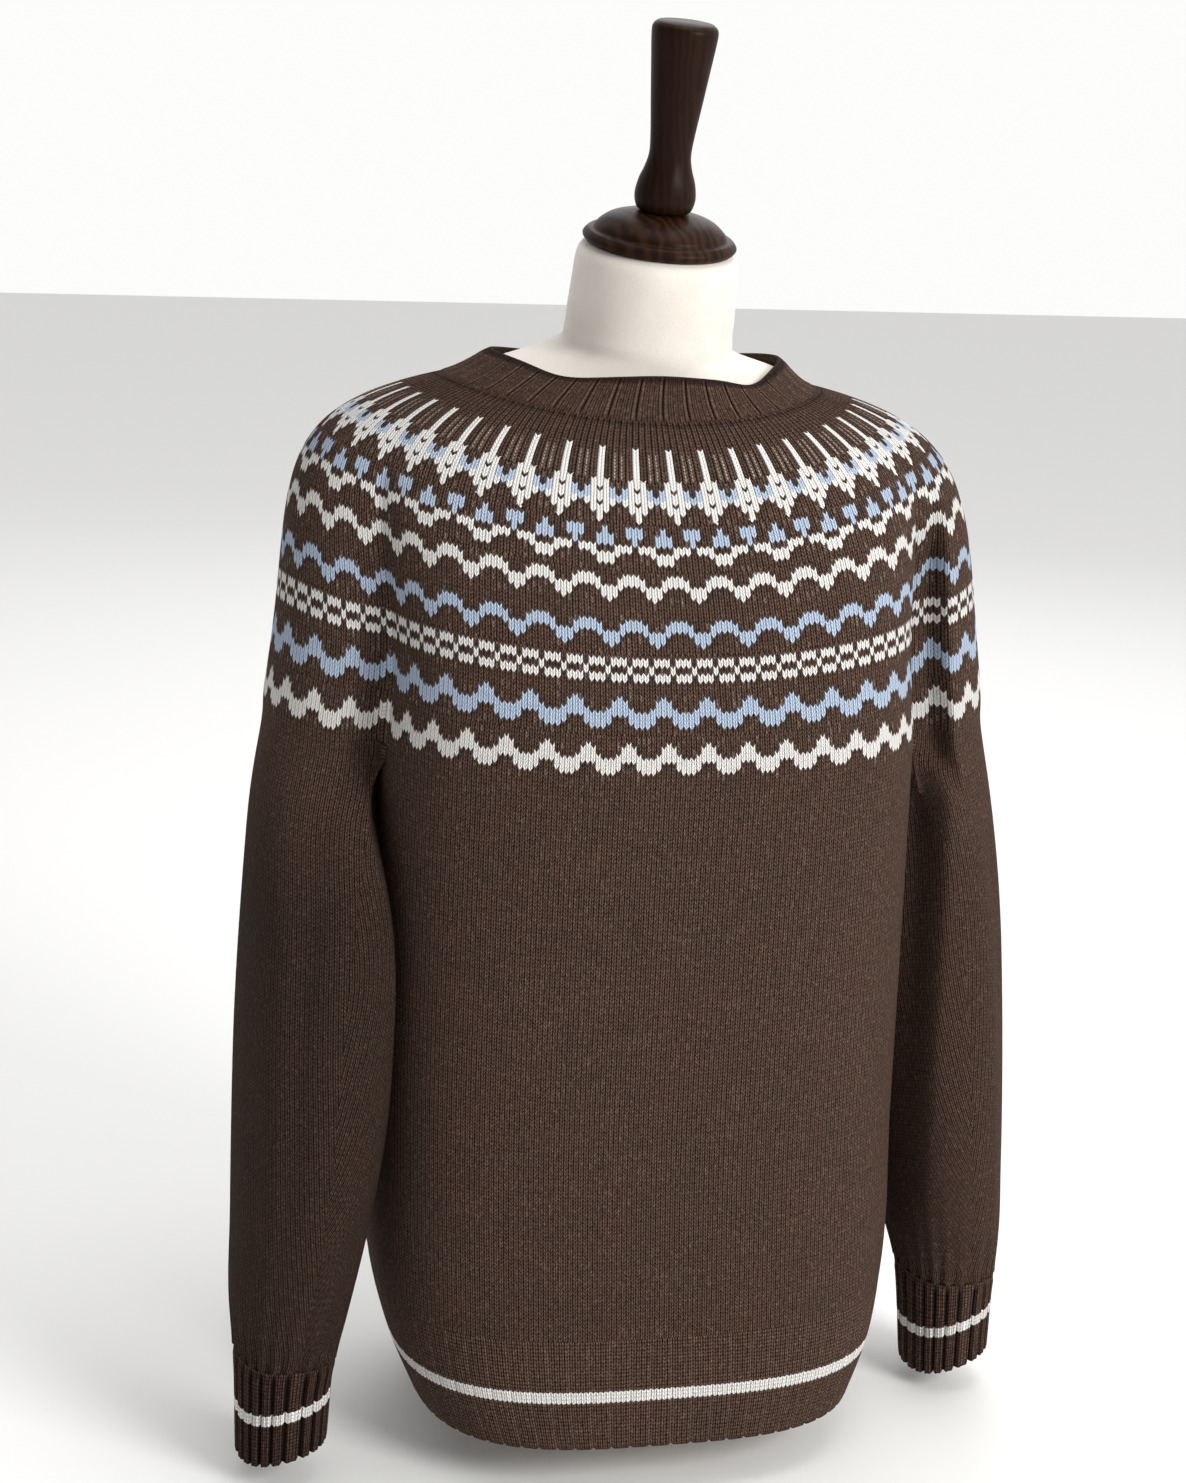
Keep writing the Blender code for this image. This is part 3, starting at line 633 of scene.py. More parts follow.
def ribProfile(columns, facts):
    # a smooth panel, then a groove with a fine raised line on each side of it that callers paint light as a
    # highlight, and the height of all three
    spot = np.arange(columns) * facts["ribs"] / columns % 1.0
    fromGroove = np.minimum(spot, 1 - spot)
    raised = 1 - np.exp(-(fromGroove / facts["groove"]) ** 2)
    lines = np.exp(-((fromGroove - facts["line"]) / (facts["groove"] * 0.5)) ** 2)
    return raised, lines, (raised - facts["sunk"] + facts["lineHeight"] * lines) * facts["height"]


def rolledRows(edge, normals, ahead, thick, steps):
    # rows that turn an edge over to the inner side
    turns = np.linspace(0, math.pi, steps + 2)[1:-1]
    middle = edge - normals * thick / 2
    return np.array([middle + (normals * math.cos(t) + ahead * math.sin(t)) * thick / 2 for t in turns])


def numbered(down, roll):
    # row numbers that go on over a rolled edge
    return np.concatenate([down, down[-1] + np.arange(1, len(roll) + 1)[:, None] * wall["rollRow"]])


def wrapped(outer, inner):
    # rows down the outer side and back up the inner one, ending with the first
    return np.concatenate([outer, inner[::-1], outer[:1]])


plainKnit = knitMaterial("plainKnit", 0.9)
chartKnit = knitMaterial("chartKnit", 0.0)
fineKnit = knitMaterial("fineKnit", 0.9, 0.5)

# yoke: one round piece, its stitches growing in number from the neck down

yoke = {
    "rows": 100, "lineCentre": 0.4973, "bandCentre": 0.490, "lastStitches": 392,
    "innerColumns": 196, "innerRows": 24, "flat": (1.331, 0.29), "area": 0.291,
    # ridgeRow and ridgeRows place a dashed painted shadow under the neckband's foot
    "ribRows": 11, "lineRows": 22, "ribDepth": 0.0005, "ridgeRow": 1.0, "ridgeRows": 0.6,
    "shadow": 0.4, "strayFrom": 0.92, "stray": 0.6, "seed": 7,
    # charts, top row first: w cream, b blue, dot brown; column 0 is the tip of each repeat
    "line": ("w....",),
    "star": ("ww...w", "ww...w", ".wb.bw", "wwb.bw", "wwbbbw", "wwwbww",
             ".ww.ww", "ww...w", "ww...w", "w.....", "w....."),
    "sprig": ("bb...b...b", "bb...b...b", "bb..bbb..b", "b...bbb...", "b...bbb...",
              ".www...www", ".www...www", "...wwwww..", "....www...", "....www..."),
    "waveDown": ("...www..", "..wwwww.", "..wwwww.", "www...ww", "ww.....w", "ww.....w", "w......."),
    "check": ("ww.w", "ww.w", "..w.", "..w.", "ww.w", "ww.w"),
    "waveUp": ("w.......", "ww.....w", "ww.....w", "www...ww",
               "wwwwwwww", "..wwwww.", "..wwwww.", "...www.."),
}
# parts of the yoke: first and last row, stitches round, and each band's chart, first row, rows and light yarn
yokeParts = tableOf(
    "from to stitches centre bands",
    (0, 18, 220, "lineCentre", (("line", 9, 9, 1),)),
    (19, 30, 264, "lineCentre", (("star", 19, 11, 1),)),
    (31, 43, 300, "bandCentre", (("sprig", 32, 10, 1),)),
    (44, 65, 328, "bandCentre", (("waveDown", 45, 7, 1), ("waveDown", 57, 7, 2))),
    (66, 86, 352, "bandCentre", (("check", 67, 6, 1), ("waveUp", 77, 8, 2))),
    (87, 100, yoke["lastStitches"], "bandCentre", (("waveUp", 89, 8, 1),)),
)


def evenMeridians():
    # each line from the neck down read at even lengths, so that all its rows have one height
    angle = -math.pi / 2 + 2 * math.pi * np.linspace(0, 1, 1441)
    along = np.linspace(0, 1, 321)
    points = np.array([yokePoint(angle, np.full(len(angle), t)) for t in along])
    way = lengthsAlong(points)
    way = way / way[-1]
    read = [[np.interp(along, way[:, j], points[:, j, k]) for k in range(3)] for j in range(len(angle))]
    return np.transpose(np.array(read), (2, 0, 1))


def eased(points, reverse=False):
    # bends the rows next to a seam so that the pieces on both sides of it stand in one line there
    rows = points[::-1] if reverse else points
    way = lengthsAlong(rows)[..., None]
    level = np.array([0.0, 0.0, 1.0 if reverse else -1.0])
    rows = rows + (level - unit(rows[1] - rows[0])) * way * np.exp(-way / wall["ease"])
    return rows[::-1] if reverse else rows


# where the arm starts at the front, the cloth behind the front's edge is set back in a crease
creases = dict(zip((1, -1), tableOf(
    "depth edge flat end firstRow fullRow below flatBelow endBelow settle fall",
    (0.021, 0.003, 0.022, 0.036, 36.0, 62.0, 0.024, 0.014, 0.034, 0.05, 0.34),
    (0.014, 0.005, 0.012, 0.034, 50.0, 96.0, 0.034, 0.008, 0.021, 0.05, 0.36),
)))


def creaseDepth(way, side):
    # way is the length round the arm from the front armpit
    crease = creases[side]
    back = smooth((way - crease["flat"]) / (crease["end"] - crease["flat"]))
    return crease["depth"] * smooth(way / crease["edge"]) * (1 - back)


def creased(points):
    ring = points[-1]
    way = lengthsAlong(ring)
    rows = np.linspace(0, yoke["rows"], len(points))[:, None]
    moved = points.copy()
    for side in (1, -1):
        start = (fineAngles[0 if side == 1 else fineFront] + math.pi / 2) / (2 * math.pi)
        startWay = np.interp(start, np.linspace(0, 1, len(ring)), way)
        fromStart = (startWay - way) * side
        crease = creases[side]
        share = smooth((rows - crease["firstRow"]) / (crease["fullRow"] - crease["firstRow"]))
        moved[..., 1] += creaseDepth(np.maximum(fromStart, 0), side) * share
    return moved


meridians = eased(creased(evenMeridians()), True)


def yokeAt(about, row):
    # about runs 0 to 1 from the back middle, row from the neck
    x = np.mod(about, 1.0) * (meridians.shape[1] - 1)
    y = np.clip(row / yoke["rows"], 0, 1) * (meridians.shape[0] - 1)
    i = np.minimum(y.astype(int), meridians.shape[0] - 2)
    j = np.minimum(x.astype(int), meridians.shape[1] - 2)
    fy, fx = (y - i)[..., None], (x - j)[..., None]
    upper = meridians[i, j] * (1 - fx) + meridians[i, j + 1] * fx
    lower = meridians[i + 1, j] * (1 - fx) + meridians[i + 1, j + 1] * fx
    return upper * (1 - fy) + lower * fy


def bandColours(part):
    colours = np.zeros((part["to"] - part["from"], 2 * part["stitches"]))
    for name, first, count, light in part["bands"]:
        chart = yoke[name]
        for row in range(count):
            marks = chart[min(row, len(chart) - 1)]
            at = first - part["from"] + row
            if at < len(colours):
                for column in range(2 * part["stitches"]):
                    mark = marks[column // 2 % len(marks)]
                    colours[at, column] = {".": 0, "w": light, "b": 2}[mark]
    return colours


def yokeTone(part, down):
    # painted shade in the grooves between single ribs below the neckband and painted light on the ribs, a
    # dashed painted shadow under the neckband's foot, pale floats between the lines, stray ones by the bands
    columns = np.arange(2 * part["stitches"])
    isSide = columns % 2 == 0
    ribs = np.clip((yoke["ribRows"] - down) / 3, 0, 1)[:, None]
    depth = yoke["ribDepth"] * np.clip((yoke["lineRows"] - down) / 4, 0, 1)[:, None] * isSide
    # painted shade on the ribs' grooves, painted light on their middles
    tone = ribs * np.where(isSide, -0.7, 0.2)
    ridge = np.exp(-((down - yoke["ridgeRow"]) / yoke["ridgeRows"]) ** 2)[:, None]
    # painted shadow under the neckband's foot, dashed stitch by stitch
    tone = tone - ridge * np.where(columns % 4 < 2, 0.8, 0.3)
    light = np.pad((bandColours(part) > 0).astype(float), ((1, 1), (0, 0)))
    near = sum(np.roll(light, step, axis=1) for step in range(-2, 2))
    near = np.minimum(near[:-1] + near[1:], 4) / 4
    tone = tone - yoke["shadow"] * near
    chance = np.random.default_rng(yoke["seed"] + part["from"])
    strays = chance.random(tone.shape)
    floats = np.zeros_like(tone)
    for name, first, count, light in part["bands"]:
        if name == "line":
            middle = np.isin(columns // 2 % 5, (2, 3)) & ~isSide
            floats = (down > first + 1)[:, None] * middle * (0.25 + 0.75 * strays)
        else:
            near = (down >= first - 1) & (down <= first + count + 1)
            stray = (strays > yoke["strayFrom"]) * ~isSide * yoke["stray"]
            floats = np.maximum(floats, near[:, None] * stray)
    return tone, floats, depth


def makeYoke():
    bm = newCloth()
    ends = []
    for part in yokeParts:
        columns = 2 * part["stitches"]
        down = np.arange(part["from"], part["to"] + 1, dtype=float)[:, None]
        # a repeat's first stitch stands on the centre line
        about = yoke[part["centre"]] + (np.arange(columns) - 1) / columns
        wave = wall["zigzag"] * (stitchWave(columns + 1, 2) - 0.5)
        inside = (down > 0) & (down < yoke["rows"])
        rows = down + wave[:-1] * inside
        points = yokeAt(np.broadcast_to(about, rows.shape), rows)
        tone, floats, depth = yokeTone(part, down[:, 0])
        points = points - gridNormals(points) * depth[..., None]
        points[down[:, 0] == 0] += slopeStep(about) * halfGap
        points[down[:, 0] == yoke["rows"], :, 2] += halfGap
        stitches = np.arange(columns + 1) / 2
        ends.append(layGrid(bm, points, stitches, down - wave * ~inside, bandColours(part), tone, floats))
    for part, lower, upperEnds, lowerEnds in zip(yokeParts, yokeParts[1:], ends, ends[1:]):
        firstStitches = [yoke[facts["centre"]] - 0.5 / facts["stitches"] for facts in (part, lower)]
        bridgeRows(bm, upperEnds[1], lowerEnds[0], (part["stitches"], lower["stitches"]),
                   firstStitches[1] - firstStitches[0], part["to"])
    about = np.arange(yoke["innerColumns"]) / yoke["innerColumns"]
    rows = np.linspace(0, yoke["rows"], yoke["innerRows"] + 1)[:, None]
    sheet = yokeAt(about + 0 * rows, rows + 0 * about)
    sheet = sheet - gridNormals(sheet) * wall["plain"]
    sheet[0] += slopeStep(about) * halfGap
    sheet[-1, :, 2] += halfGap
    inner = layGrid(bm, sheet, np.arange(yoke["innerColumns"] + 1) * 1.5, rows)
    bmesh.ops.bridge_loops(bm, edges=ends[0][0] + inner[0])
    bmesh.ops.bridge_loops(bm, edges=ends[-1][1] + inner[1])
    finishCloth("knitYoke", bm, chartKnit, "yoke")


def slopeStep(about):
    angle = -math.pi / 2 + 2 * math.pi * about
    return slopeAtNeck(angle, baseAt(angle))[2]


makeYoke()

# neckband

neckband = {
    "centre": 0.4973, "ribs": 44, "stitches": 220, "perStitch": 4, "rows": 14,
    "height": 0.0011, "groove": 0.05, "line": 0.1, "sunk": 0.5, "lineHeight": 0.35,
    # joinShade paints shade at the band's foot; grooveDark paints shade in the grooves
    "reliefFrom": 0.12, "thickFrom": 0.3, "joinShade": 0.3, "joinRows": 0.06, "grooveDark": 0.9,
    "rollSteps": 5, "edge": 0.1, "edgeDark": -0.65, "tone": -0.32, "flat": (0.705, 0.038), "area": 0.0197,
}


def makeNeckband():
    bm = newCloth()
    columns = neckband["stitches"] * neckband["perStitch"]
    about = neckband["centre"] + np.arange(columns) / columns
    angle = -math.pi / 2 + 2 * math.pi * about
    t = np.linspace(0, 1, neckband["rows"] + 1)[:, None]
    outer = bandPoint(angle + 0 * t, t + 0 * angle)
    outer[0] -= slopeStep(about) * halfGap
    normals = gridNormals(outer)
    raised, lines, relief = ribProfile(columns, neckband)
    fade = np.clip(t / neckband["reliefFrom"], 0, 1) * np.clip((1 - t) / neckband["edge"], 0, 1)
    thick = wall["plain"] + (wall["band"] - wall["plain"]) * np.minimum(t / neckband["thickFrom"], 1)
    base = outer - normals * neckband["height"] * 0.3
    ribbed = base + normals * (relief * fade)[..., None]
    ahead = unit(outer[-1] - outer[-2])
    roll = rolledRows(ribbed[-1], normals[-1], ahead, wall["band"], neckband["rollSteps"])
    # painted highlight on the lines beside each groove and painted shade in the grooves, faded like the
    # relief; then painted shade at the foot
    mark = neckband["tone"] + (lines - (1 - raised) * neckband["grooveDark"]) * fade
    mark = mark - neckband["joinShade"] * np.exp(-(t / neckband["joinRows"]) ** 2)
    mark = mark + neckband["edgeDark"] * (t > 1 - neckband["edge"])
    tone = np.concatenate([mark, np.full((len(roll), columns), neckband["edgeDark"])])
    down = -numbered(t * neckband["rows"], roll)
    inner = (base - normals * thick[..., None])[::2]
    sheet = wrapped(np.concatenate([ribbed, roll]), inner)
    down = wrapped(down, down[:neckband["rows"] + 1:2])
    layGrid(bm, sheet, np.arange(columns + 1) / neckband["perStitch"], down, tone=tone, looped=True)
    finishCloth("ribNeckband", bm, fineKnit, "neckband")


makeNeckband()

# front and back of the body

panels = {
    "frontColumns": 160, "backColumns": 150, "underColumns": 20, "rows": 150,
    "middle": {"front": fineFront // 2, "back": fineFront + fineArm + fineBack // 2},
    "flat": {"front": (0.558, 0.395), "back": (0.539, 0.394)}, "area": {"front": 0.215, "back": 0.209},
}


def bodyColumns():
    half = panels["underColumns"] // 2
    frontAngles, frontTops = lowerEdge("front", panels["frontColumns"])
    backAngles, backTops = lowerEdge("back", panels["backColumns"])
    under, underTops = underarmLine(panels["underColumns"])
    front = (np.concatenate([under[half:-1], frontAngles, (math.pi - under)[half:][::-1][1:]]),
             np.concatenate([underTops[half:-1], frontTops, underTops[half:][::-1][1:]]))
    back = (np.concatenate([(math.pi - under)[:half + 1][::-1], backAngles[1:],
                            2 * math.pi + under[1:half + 1]]),
            np.concatenate([underTops[:half + 1][::-1], backTops[1:], underTops[1:half + 1]]))
    return {"front": front, "back": back}


def makePanel(name, inward):
    angles, tops = bodyColumns()[name]
    t = np.linspace(0, 1, panels["rows"] + 1)[:, None]
    z = tops + (body["ribTopZ"] - tops) * t
    outer = eased(bodyPoint(angles + 0 * z, z))
    across = wayAcross(outer, False, outer.shape[1] // 2, yokeCount(panels["middle"][name]))
    down = wayDown(outer, False)
    outer[0, :, 2] -= halfGap
    outer[-1, :, 2] += halfGap
    outer[:, [0, -1], 1] += inward * halfGap
    bm = newCloth()
    layGrid(bm, outer, across, down, closed=False)
    bmesh.ops.recalc_face_normals(bm, faces=bm.faces)
    middle = max(bm.faces, key=lambda face: -inward * face.calc_center_median().y)
    outward = middle.normal.y * -inward > 0
    bmesh.ops.solidify(bm, geom=bm.faces, thickness=-wall["plain"] if outward else wall["plain"])
    finishCloth("knit" + name.capitalize(), bm, plainKnit, name)


makePanel("front", -1)
makePanel("back", 1)

# hem rib

# rib tubes: dark paints shade in the grooves, pale paints highlight on the lines beside them, rollDark paints
# shade on the turned-under roll
ribTube = {
    "perStitch": 4, "scallop": 0.0012, "scallopRows": 6, "zigzag": 0.4, "stripeRows": 3, "innerRows": 8,
    "rollSteps": 4, "rollDark": 0.3, "sunk": 0.6, "lineHeight": 0.3, "reliefRows": 3,
}
hemRib = {
    **ribTube, "ribs": 76, "stitches": 304, "rows": 30, "height": 0.0009, "groove": 0.08, "line": 0.0,
    "dark": 0.2, "pale": 1.5, "tone": 0.0, "stripeFrom": 14, "flat": (1.079, 0.082), "area": 0.084,
}


def levelNormals(grid):
    return unit(gridNormals(grid) * np.array([1.0, 1.0, 0.0]))


def makeRibTube(name, node, facts, pointAt, columnsAt, topZ, bottomZ):
    # a rib tube hanging from topZ to bottomZ, its lower edge turned in
    bm = newCloth()
    columns = facts["stitches"] * facts["perStitch"]
    turns = columnsAt(columns)
    down = np.arange(facts["rows"] + 1, dtype=float)[:, None]
    inside = down > 0
    wave = facts["zigzag"] * (stitchWave(columns + 1, facts["perStitch"]) - 0.5)
    rows = down + wave[:-1] * inside * (down < facts["rows"])
    joinZ = topZ - halfGap
    z = joinZ - (joinZ - bottomZ) * rows / facts["rows"]
    outer = pointAt(turns + 0 * z, z)
    normals = levelNormals(outer)
    raised, lines, relief = ribProfile(columns, facts)
    fade = np.clip(down / facts["reliefRows"], 0.25, 1)
    ribbed = outer + normals * (relief * fade)[..., None]
    lowest = np.clip((down - facts["rows"]) / facts["scallopRows"] + 1, 0, 1)
    ribbed[..., 2] += (1 - raised) * facts["scallop"] * lowest
    ahead = np.array([0.0, 0.0, -1.0]) + 0 * ribbed[-1]
    roll = rolledRows(ribbed[-1], normals[-1], ahead, wall["plain"], facts["rollSteps"])
    roll[..., 2] += wall["plain"] / 2
    ribbed[-1, :, 2] += wall["plain"] / 2
    # painted highlight on the lines beside each groove, painted shade in the grooves, and more painted shade
    # on the roll
    mark = facts["tone"] + lines * facts["pale"] - (1 - raised) * facts["dark"]
    rolledTone = np.tile(mark - facts["rollDark"], (len(roll), 1))
    tone = np.concatenate([facts["tone"] + (mark - facts["tone"]) * fade, rolledTone])
    rowNumbers = numbered(down, roll)
    colours = np.zeros((len(rowNumbers) - 1, columns))
    colours[facts["stripeFrom"]:][:facts["stripeRows"]] = 1.0
    z = np.linspace(joinZ, bottomZ + wall["plain"] / 2, facts["innerRows"] + 1)[:, None]
    inner = pointAt(turns + 0 * z, z + 0 * turns)
    inner = inner - levelNormals(inner) * (wall["plain"] + 0.5 * facts["height"])
    innerRows = np.linspace(0, facts["rows"], facts["innerRows"] + 1)[:, None]
    sheet = wrapped(np.concatenate([ribbed, roll]), inner)
    rowNumbers = wrapped(rowNumbers, innerRows)
    rowNumbers = rowNumbers - wave * (rowNumbers == 0)
    layGrid(bm, sheet, np.arange(columns + 1) / facts["perStitch"], rowNumbers, colours, tone, looped=True)
    finishCloth(name, bm, chartKnit, node)


makeRibTube("hemRib", "hem_rib", hemRib, bodyPoint,
            lambda count: evenAngles(0, 2 * math.pi, count, body["ribTopZ"])[:-1],
            body["ribTopZ"], body["hemZ"])

# sleeves and their cuffs

sleeves = {
    "armColumns": 150, "underColumns": 90, "rows": 150, "ribFade": 0.028, "ribHeight": 0.0016,
    # tone is painted shade on each sleeve and its cuff, deeper on side -1
    "tone": {1: -0.22, -1: -0.6}, "toneFade": 0.12, "creaseFade": 0.08, "foldFade": 0.03, "innerEvery": 3,
    "flat": {1: (0.472, 0.425), -1: (0.461, 0.442)}, "area": {1: 0.158, -1: 0.162},
    # soft folds: place round the sleeve and height of each one's middle, half width, half length and depth
    "folds": {
        1: tableOf(
            "turn z width length depth",
            (-50.0, 0.33, 15.0, 0.16, 0.0045),
            (-15.0, 0.25, 20.0, 0.13, 0.0030),
            (60.0, 0.30, 22.0, 0.15, 0.0040),
        ),
        -1: tableOf(
            "turn z width length depth",
            (-62.0, 0.36, 14.0, 0.17, 0.0050),
            (-25.0, 0.22, 16.0, 0.12, 0.0030),
            (55.0, 0.30, 22.0, 0.15, 0.0040),
        ),
    },
}
cuff = {
    **ribTube, "ribs": 22, "stitches": 66, "rows": 27, "height": 0.0024, "groove": 0.15, "line": 0.3,
    "dark": 1.2, "pale": 0.3, "stripeFrom": 12,
    "tilt": {1: 0.32, -1: 0.20}, "tiltLength": 0.03, "flat": (0.238, 0.07), "area": 0.015,
}


def cuffPoint(turn, z, side):
    # each cuff hangs a little askew below its join
    points = sleevePoint(turn, z, side)
    share = smooth((sleeve["cuffTopZ"] - z) / cuff["tiltLength"])
    points[..., 2] += cuff["tilt"][side] * share * (points[..., 0] - side * sleeve["sections"][0]["x"])
    return points


def foldedSleeve(rows, turn, side):
    # the yoke's crease runs down beside the body and fades; soft long folds lie along the sleeve
    crease = creases[side]
    way = lengthsAlong(rows[0])
    drop = rows[0, :, 2] - rows[..., 2]
    fromBody = side * rows[..., 0] - bodySide(rows[..., 1], rows[..., 2], side)
    back = smooth((fromBody - crease["flatBelow"]) / (crease["endBelow"] - crease["flatBelow"]))
    beside = crease["below"] * (1 - back) * smooth(0.4 - np.sin(turn))
    settled = smooth(drop / crease["settle"])
    setBack = creaseDepth(way, side) * (1 - settled) + beside * settled
    setBack = setBack * np.exp(-(drop / crease["fall"]) ** 2)
    rows = rows.copy()
    rows[..., 1] += setBack * smooth((rows[..., 2] - sleeve["cuffTopZ"]) / sleeves["creaseFade"])
    normals = gridNormals(rows)
    for fold in sleeves["folds"][side]:
        across = np.exp(-((turn - math.radians(fold["turn"])) / math.radians(fold["width"])) ** 2)
        down = np.exp(-((rows[..., 2] - fold["z"]) / fold["length"]) ** 2)
        aboveCuff = (rows[..., 2] - sleeve["cuffTopZ"]) / sleeves["foldFade"]
        start = np.clip(drop / sleeves["foldFade"], 0, 1) * np.clip(aboveCuff, 0, 1)
        rows = rows - normals * (fold["depth"] * across * down * start)[..., None]
    rows[1:] = besideBody(rows[1:], side, sleeve["clearance"])
    # the cuff's ribs run on into the sleeve and fade
    ribs = np.cos(turn * cuff["ribs"]) * np.exp(-(rows[..., 2] - sleeve["cuffTopZ"]) / sleeves["ribFade"])
    return rows + normals * (ribs * sleeves["ribHeight"])[..., None]


def sleeveGrid(side):
    arc = armArc(sleeves["armColumns"], side)
    underAngles, underTops = underarmLine(sleeves["underColumns"])
    under = bodyPoint(underAngles[1:-1], underTops[1:-1])
    under[:, 0] *= side
    arc[[0, -1], 0] += side * sleeve["clearance"]
    under[:, 0] += side * sleeve["clearance"]
    top = np.concatenate([arc, under])
    turn = np.concatenate([
        np.linspace(-math.pi / 2, math.pi / 2, sleeves["armColumns"] + 1),
        np.linspace(math.pi / 2, 1.5 * math.pi, sleeves["underColumns"] + 1)[1:-1],
    ])
    fitted = top - sleevePoint(turn, top[:, 2], side)
    rows = [top]
    for t in np.linspace(0, 1, sleeves["rows"] + 1)[1:]:
        z = top[:, 2] + (sleeve["cuffTopZ"] - top[:, 2]) * t
        fade = max(0.0, 1 - t / sleeve["settle"]) ** 2
        row = sleevePoint(turn, z, side) + fitted * fade * np.array([1.0, 1.0, 0.0])
        clearance = sleeve["clearance"] + sleeve["parting"] * min(1.0, t / sleeve["settle"] * 4)
        rows.append(besideBody(row, side, clearance))
    return eased(foldedSleeve(np.array(rows), turn, side))


def makeSleeve(name, node, side):
    outer = sleeveGrid(side)
    normals = gridNormals(outer)
    for row in (0, -1):
        normals[row] = unit(normals[row] * np.array([1.0, 1.0, 0.0]))
    middle = {-1: fineFront + fineArm // 2, 1: len(fineBase) - fineArm // 2}[side]
    across = wayAcross(outer, True, sleeves["armColumns"] // 2, -side * yokeCount(middle))
    down = wayDown(outer, True)
    every = sleeves["innerEvery"]
    inner = (outer - normals * wall["plain"])[::every]
    for sheet in (outer, inner):
        sheet[0, :, 2] -= halfGap
        sheet[-1, :, 2] += halfGap
    bm = newCloth()
    sheet = wrapped(outer, inner)
    across, down = wrapped(across, across[::every]), wrapped(down, down[::every])
    # the sleeve's deeper shade comes in below the yoke
    # painted shade: below the yoke each sleeve is painted darker, the one on side -1, away from the key
    # light, the most
    tone = sleeves["tone"][side] * smooth((sheet[0, :, 2] - sheet[..., 2]) / sleeves["toneFade"])
    layGrid(bm, sheet, across, down, tone=tone, looped=True)
    finishCloth(name, bm, plainKnit, node)


for sideName, side in (("Left", 1), ("Right", -1)):
    makeSleeve("sleeve" + sideName, "sleeve_" + sideName.lower(), side)
    # the cuff takes its sleeve's painted shade as its tone
    makeRibTube("cuff" + sideName, "cuff_" + sideName.lower(), {**cuff, "tone": sleeves["tone"][side]},
                lambda turns, z, s=side: cuffPoint(turns, z, s),
                lambda count: np.linspace(0, 2 * math.pi, count, endpoint=False),
                sleeve["cuffTopZ"], sleeve["cuffBottomZ"])

# dress form in off-white jersey

form = {
    "torso": tableOf(
        "z halfWidth front back",
        (0.000, 0.078, 0.066, 0.066),
        (0.012, 0.100, 0.082, 0.082),
        (0.045, 0.124, 0.098, 0.096),
        (0.110, 0.140, 0.108, 0.104),
        (0.200, 0.134, 0.102, 0.100),
        (0.290, 0.122, 0.094, 0.092),
        (0.380, 0.134, 0.106, 0.100),
        (0.460, 0.150, 0.122, 0.108),
        (0.540, 0.154, 0.116, 0.112),
    ),
    "neck": tableOf(
        "drop halfWidth halfDepth",
        (0.0000, 0.0480, 0.0480),
        (0.0030, 0.0525, 0.0520),
        (0.0100, 0.0550, 0.0545),
        (0.0280, 0.0560, 0.0555),
        (0.0450, 0.0570, 0.0555),
        (0.0580, 0.0575, 0.0560),
        (0.0700, 0.0630, 0.0560),
    ),
    "power": 2.3, "bandSteps": (0.9, 0.45), "bandClearance": sides(0.006, 0.003, 0.004),
    "shoulderSteps": (0.0, 0.2, 0.42, 0.64, 0.84, 1.0),
    "shoulderEnd": sides(0.62, 0.42, 0.62),
    "clearance": sides(0.007, 0.008, 0.006), "columns": 128, "rows": 110, "sharp": 60,
    "colour": (0.80, 0.745, 0.69), "shade": (0.70, 0.64, 0.58),
    "probe": 0.004, "fine": (1400.0, 2.0, 0.6), "soft": (30.0, 3.0, 0.5), "relief": (0.00025, 0.6),
    "shader": {"Roughness": 0.85, "Sheen Weight": 0.25},
}
cap = {
    "centre": (0.006, 0.026, 0.828), "lean": (9.6, 2.2), "steps": 96, "between": 5, "sharp": 40,
    "disc": tableOf(
        "radius height",
        (0.0450, 0.0000), (0.0490, 0.0006),
        (0.0520, 0.0045), (0.0490, 0.0086),
        (0.0450, 0.0098), (0.0425, 0.0135),
        (0.0350, 0.0190), (0.0230, 0.0225),
        (0.0150, 0.0240),
    ),
    "handle": tableOf(
        "radius height",
        (0.0150, 0.0243), (0.0185, 0.0262),
        (0.0205, 0.0340), (0.0190, 0.0440),
        (0.0160, 0.0525), (0.0140, 0.0620),
        (0.0148, 0.0755), (0.0172, 0.0965),
        (0.0198, 0.1200), (0.0218, 0.1390),
        (0.0212, 0.1445), (0.0185, 0.1470),
    ),
    "dark": (0.0115, 0.0040, 0.0018), "light": (0.088, 0.036, 0.015),
    "wander": (22.0, 3.0, 0.5), "pores": (1300.0, 1.0, 0.5), "relief": (0.0003, 0.35),
    "rings": {"Scale": 95.0, "Distortion": 9.0, "Detail": 3.0, "Detail Scale": 1.4},
    "shader": {"Roughness": 0.45, "Specular IOR Level": 0.07, "Coat Weight": 0.02, "Coat Roughness": 0.25},
}


def capMatrix():
    lean = Euler((math.radians(cap["lean"][0]), math.radians(cap["lean"][1]), 0)).to_matrix().to_4x4()
    return Matrix.Translation(Vector(cap["centre"])) @ lean


def smoothRows(rows, count):
    # rows read along a smooth curve through the given ones
    rows = np.array(rows)
    slopes = np.gradient(rows, axis=0)
    at = np.linspace(0, len(rows) - 1, count)
    low = np.minimum(at.astype(int), len(rows) - 2)
    return curveBetween(rows, slopes, low, (at - low).reshape(-1, *([1] * (rows.ndim - 1))))


def insideCloth(surface, at, depth):
    here = surface(at)
    down = surface(at + form["probe"]) - here
    around = np.roll(here, -1, axis=0) - np.roll(here, 1, axis=0)
    normal = unit(np.cross(around, down))
    normal *= np.sign((normal * (here - here.mean(axis=0))).sum())
    return here - normal * depth[:, None]


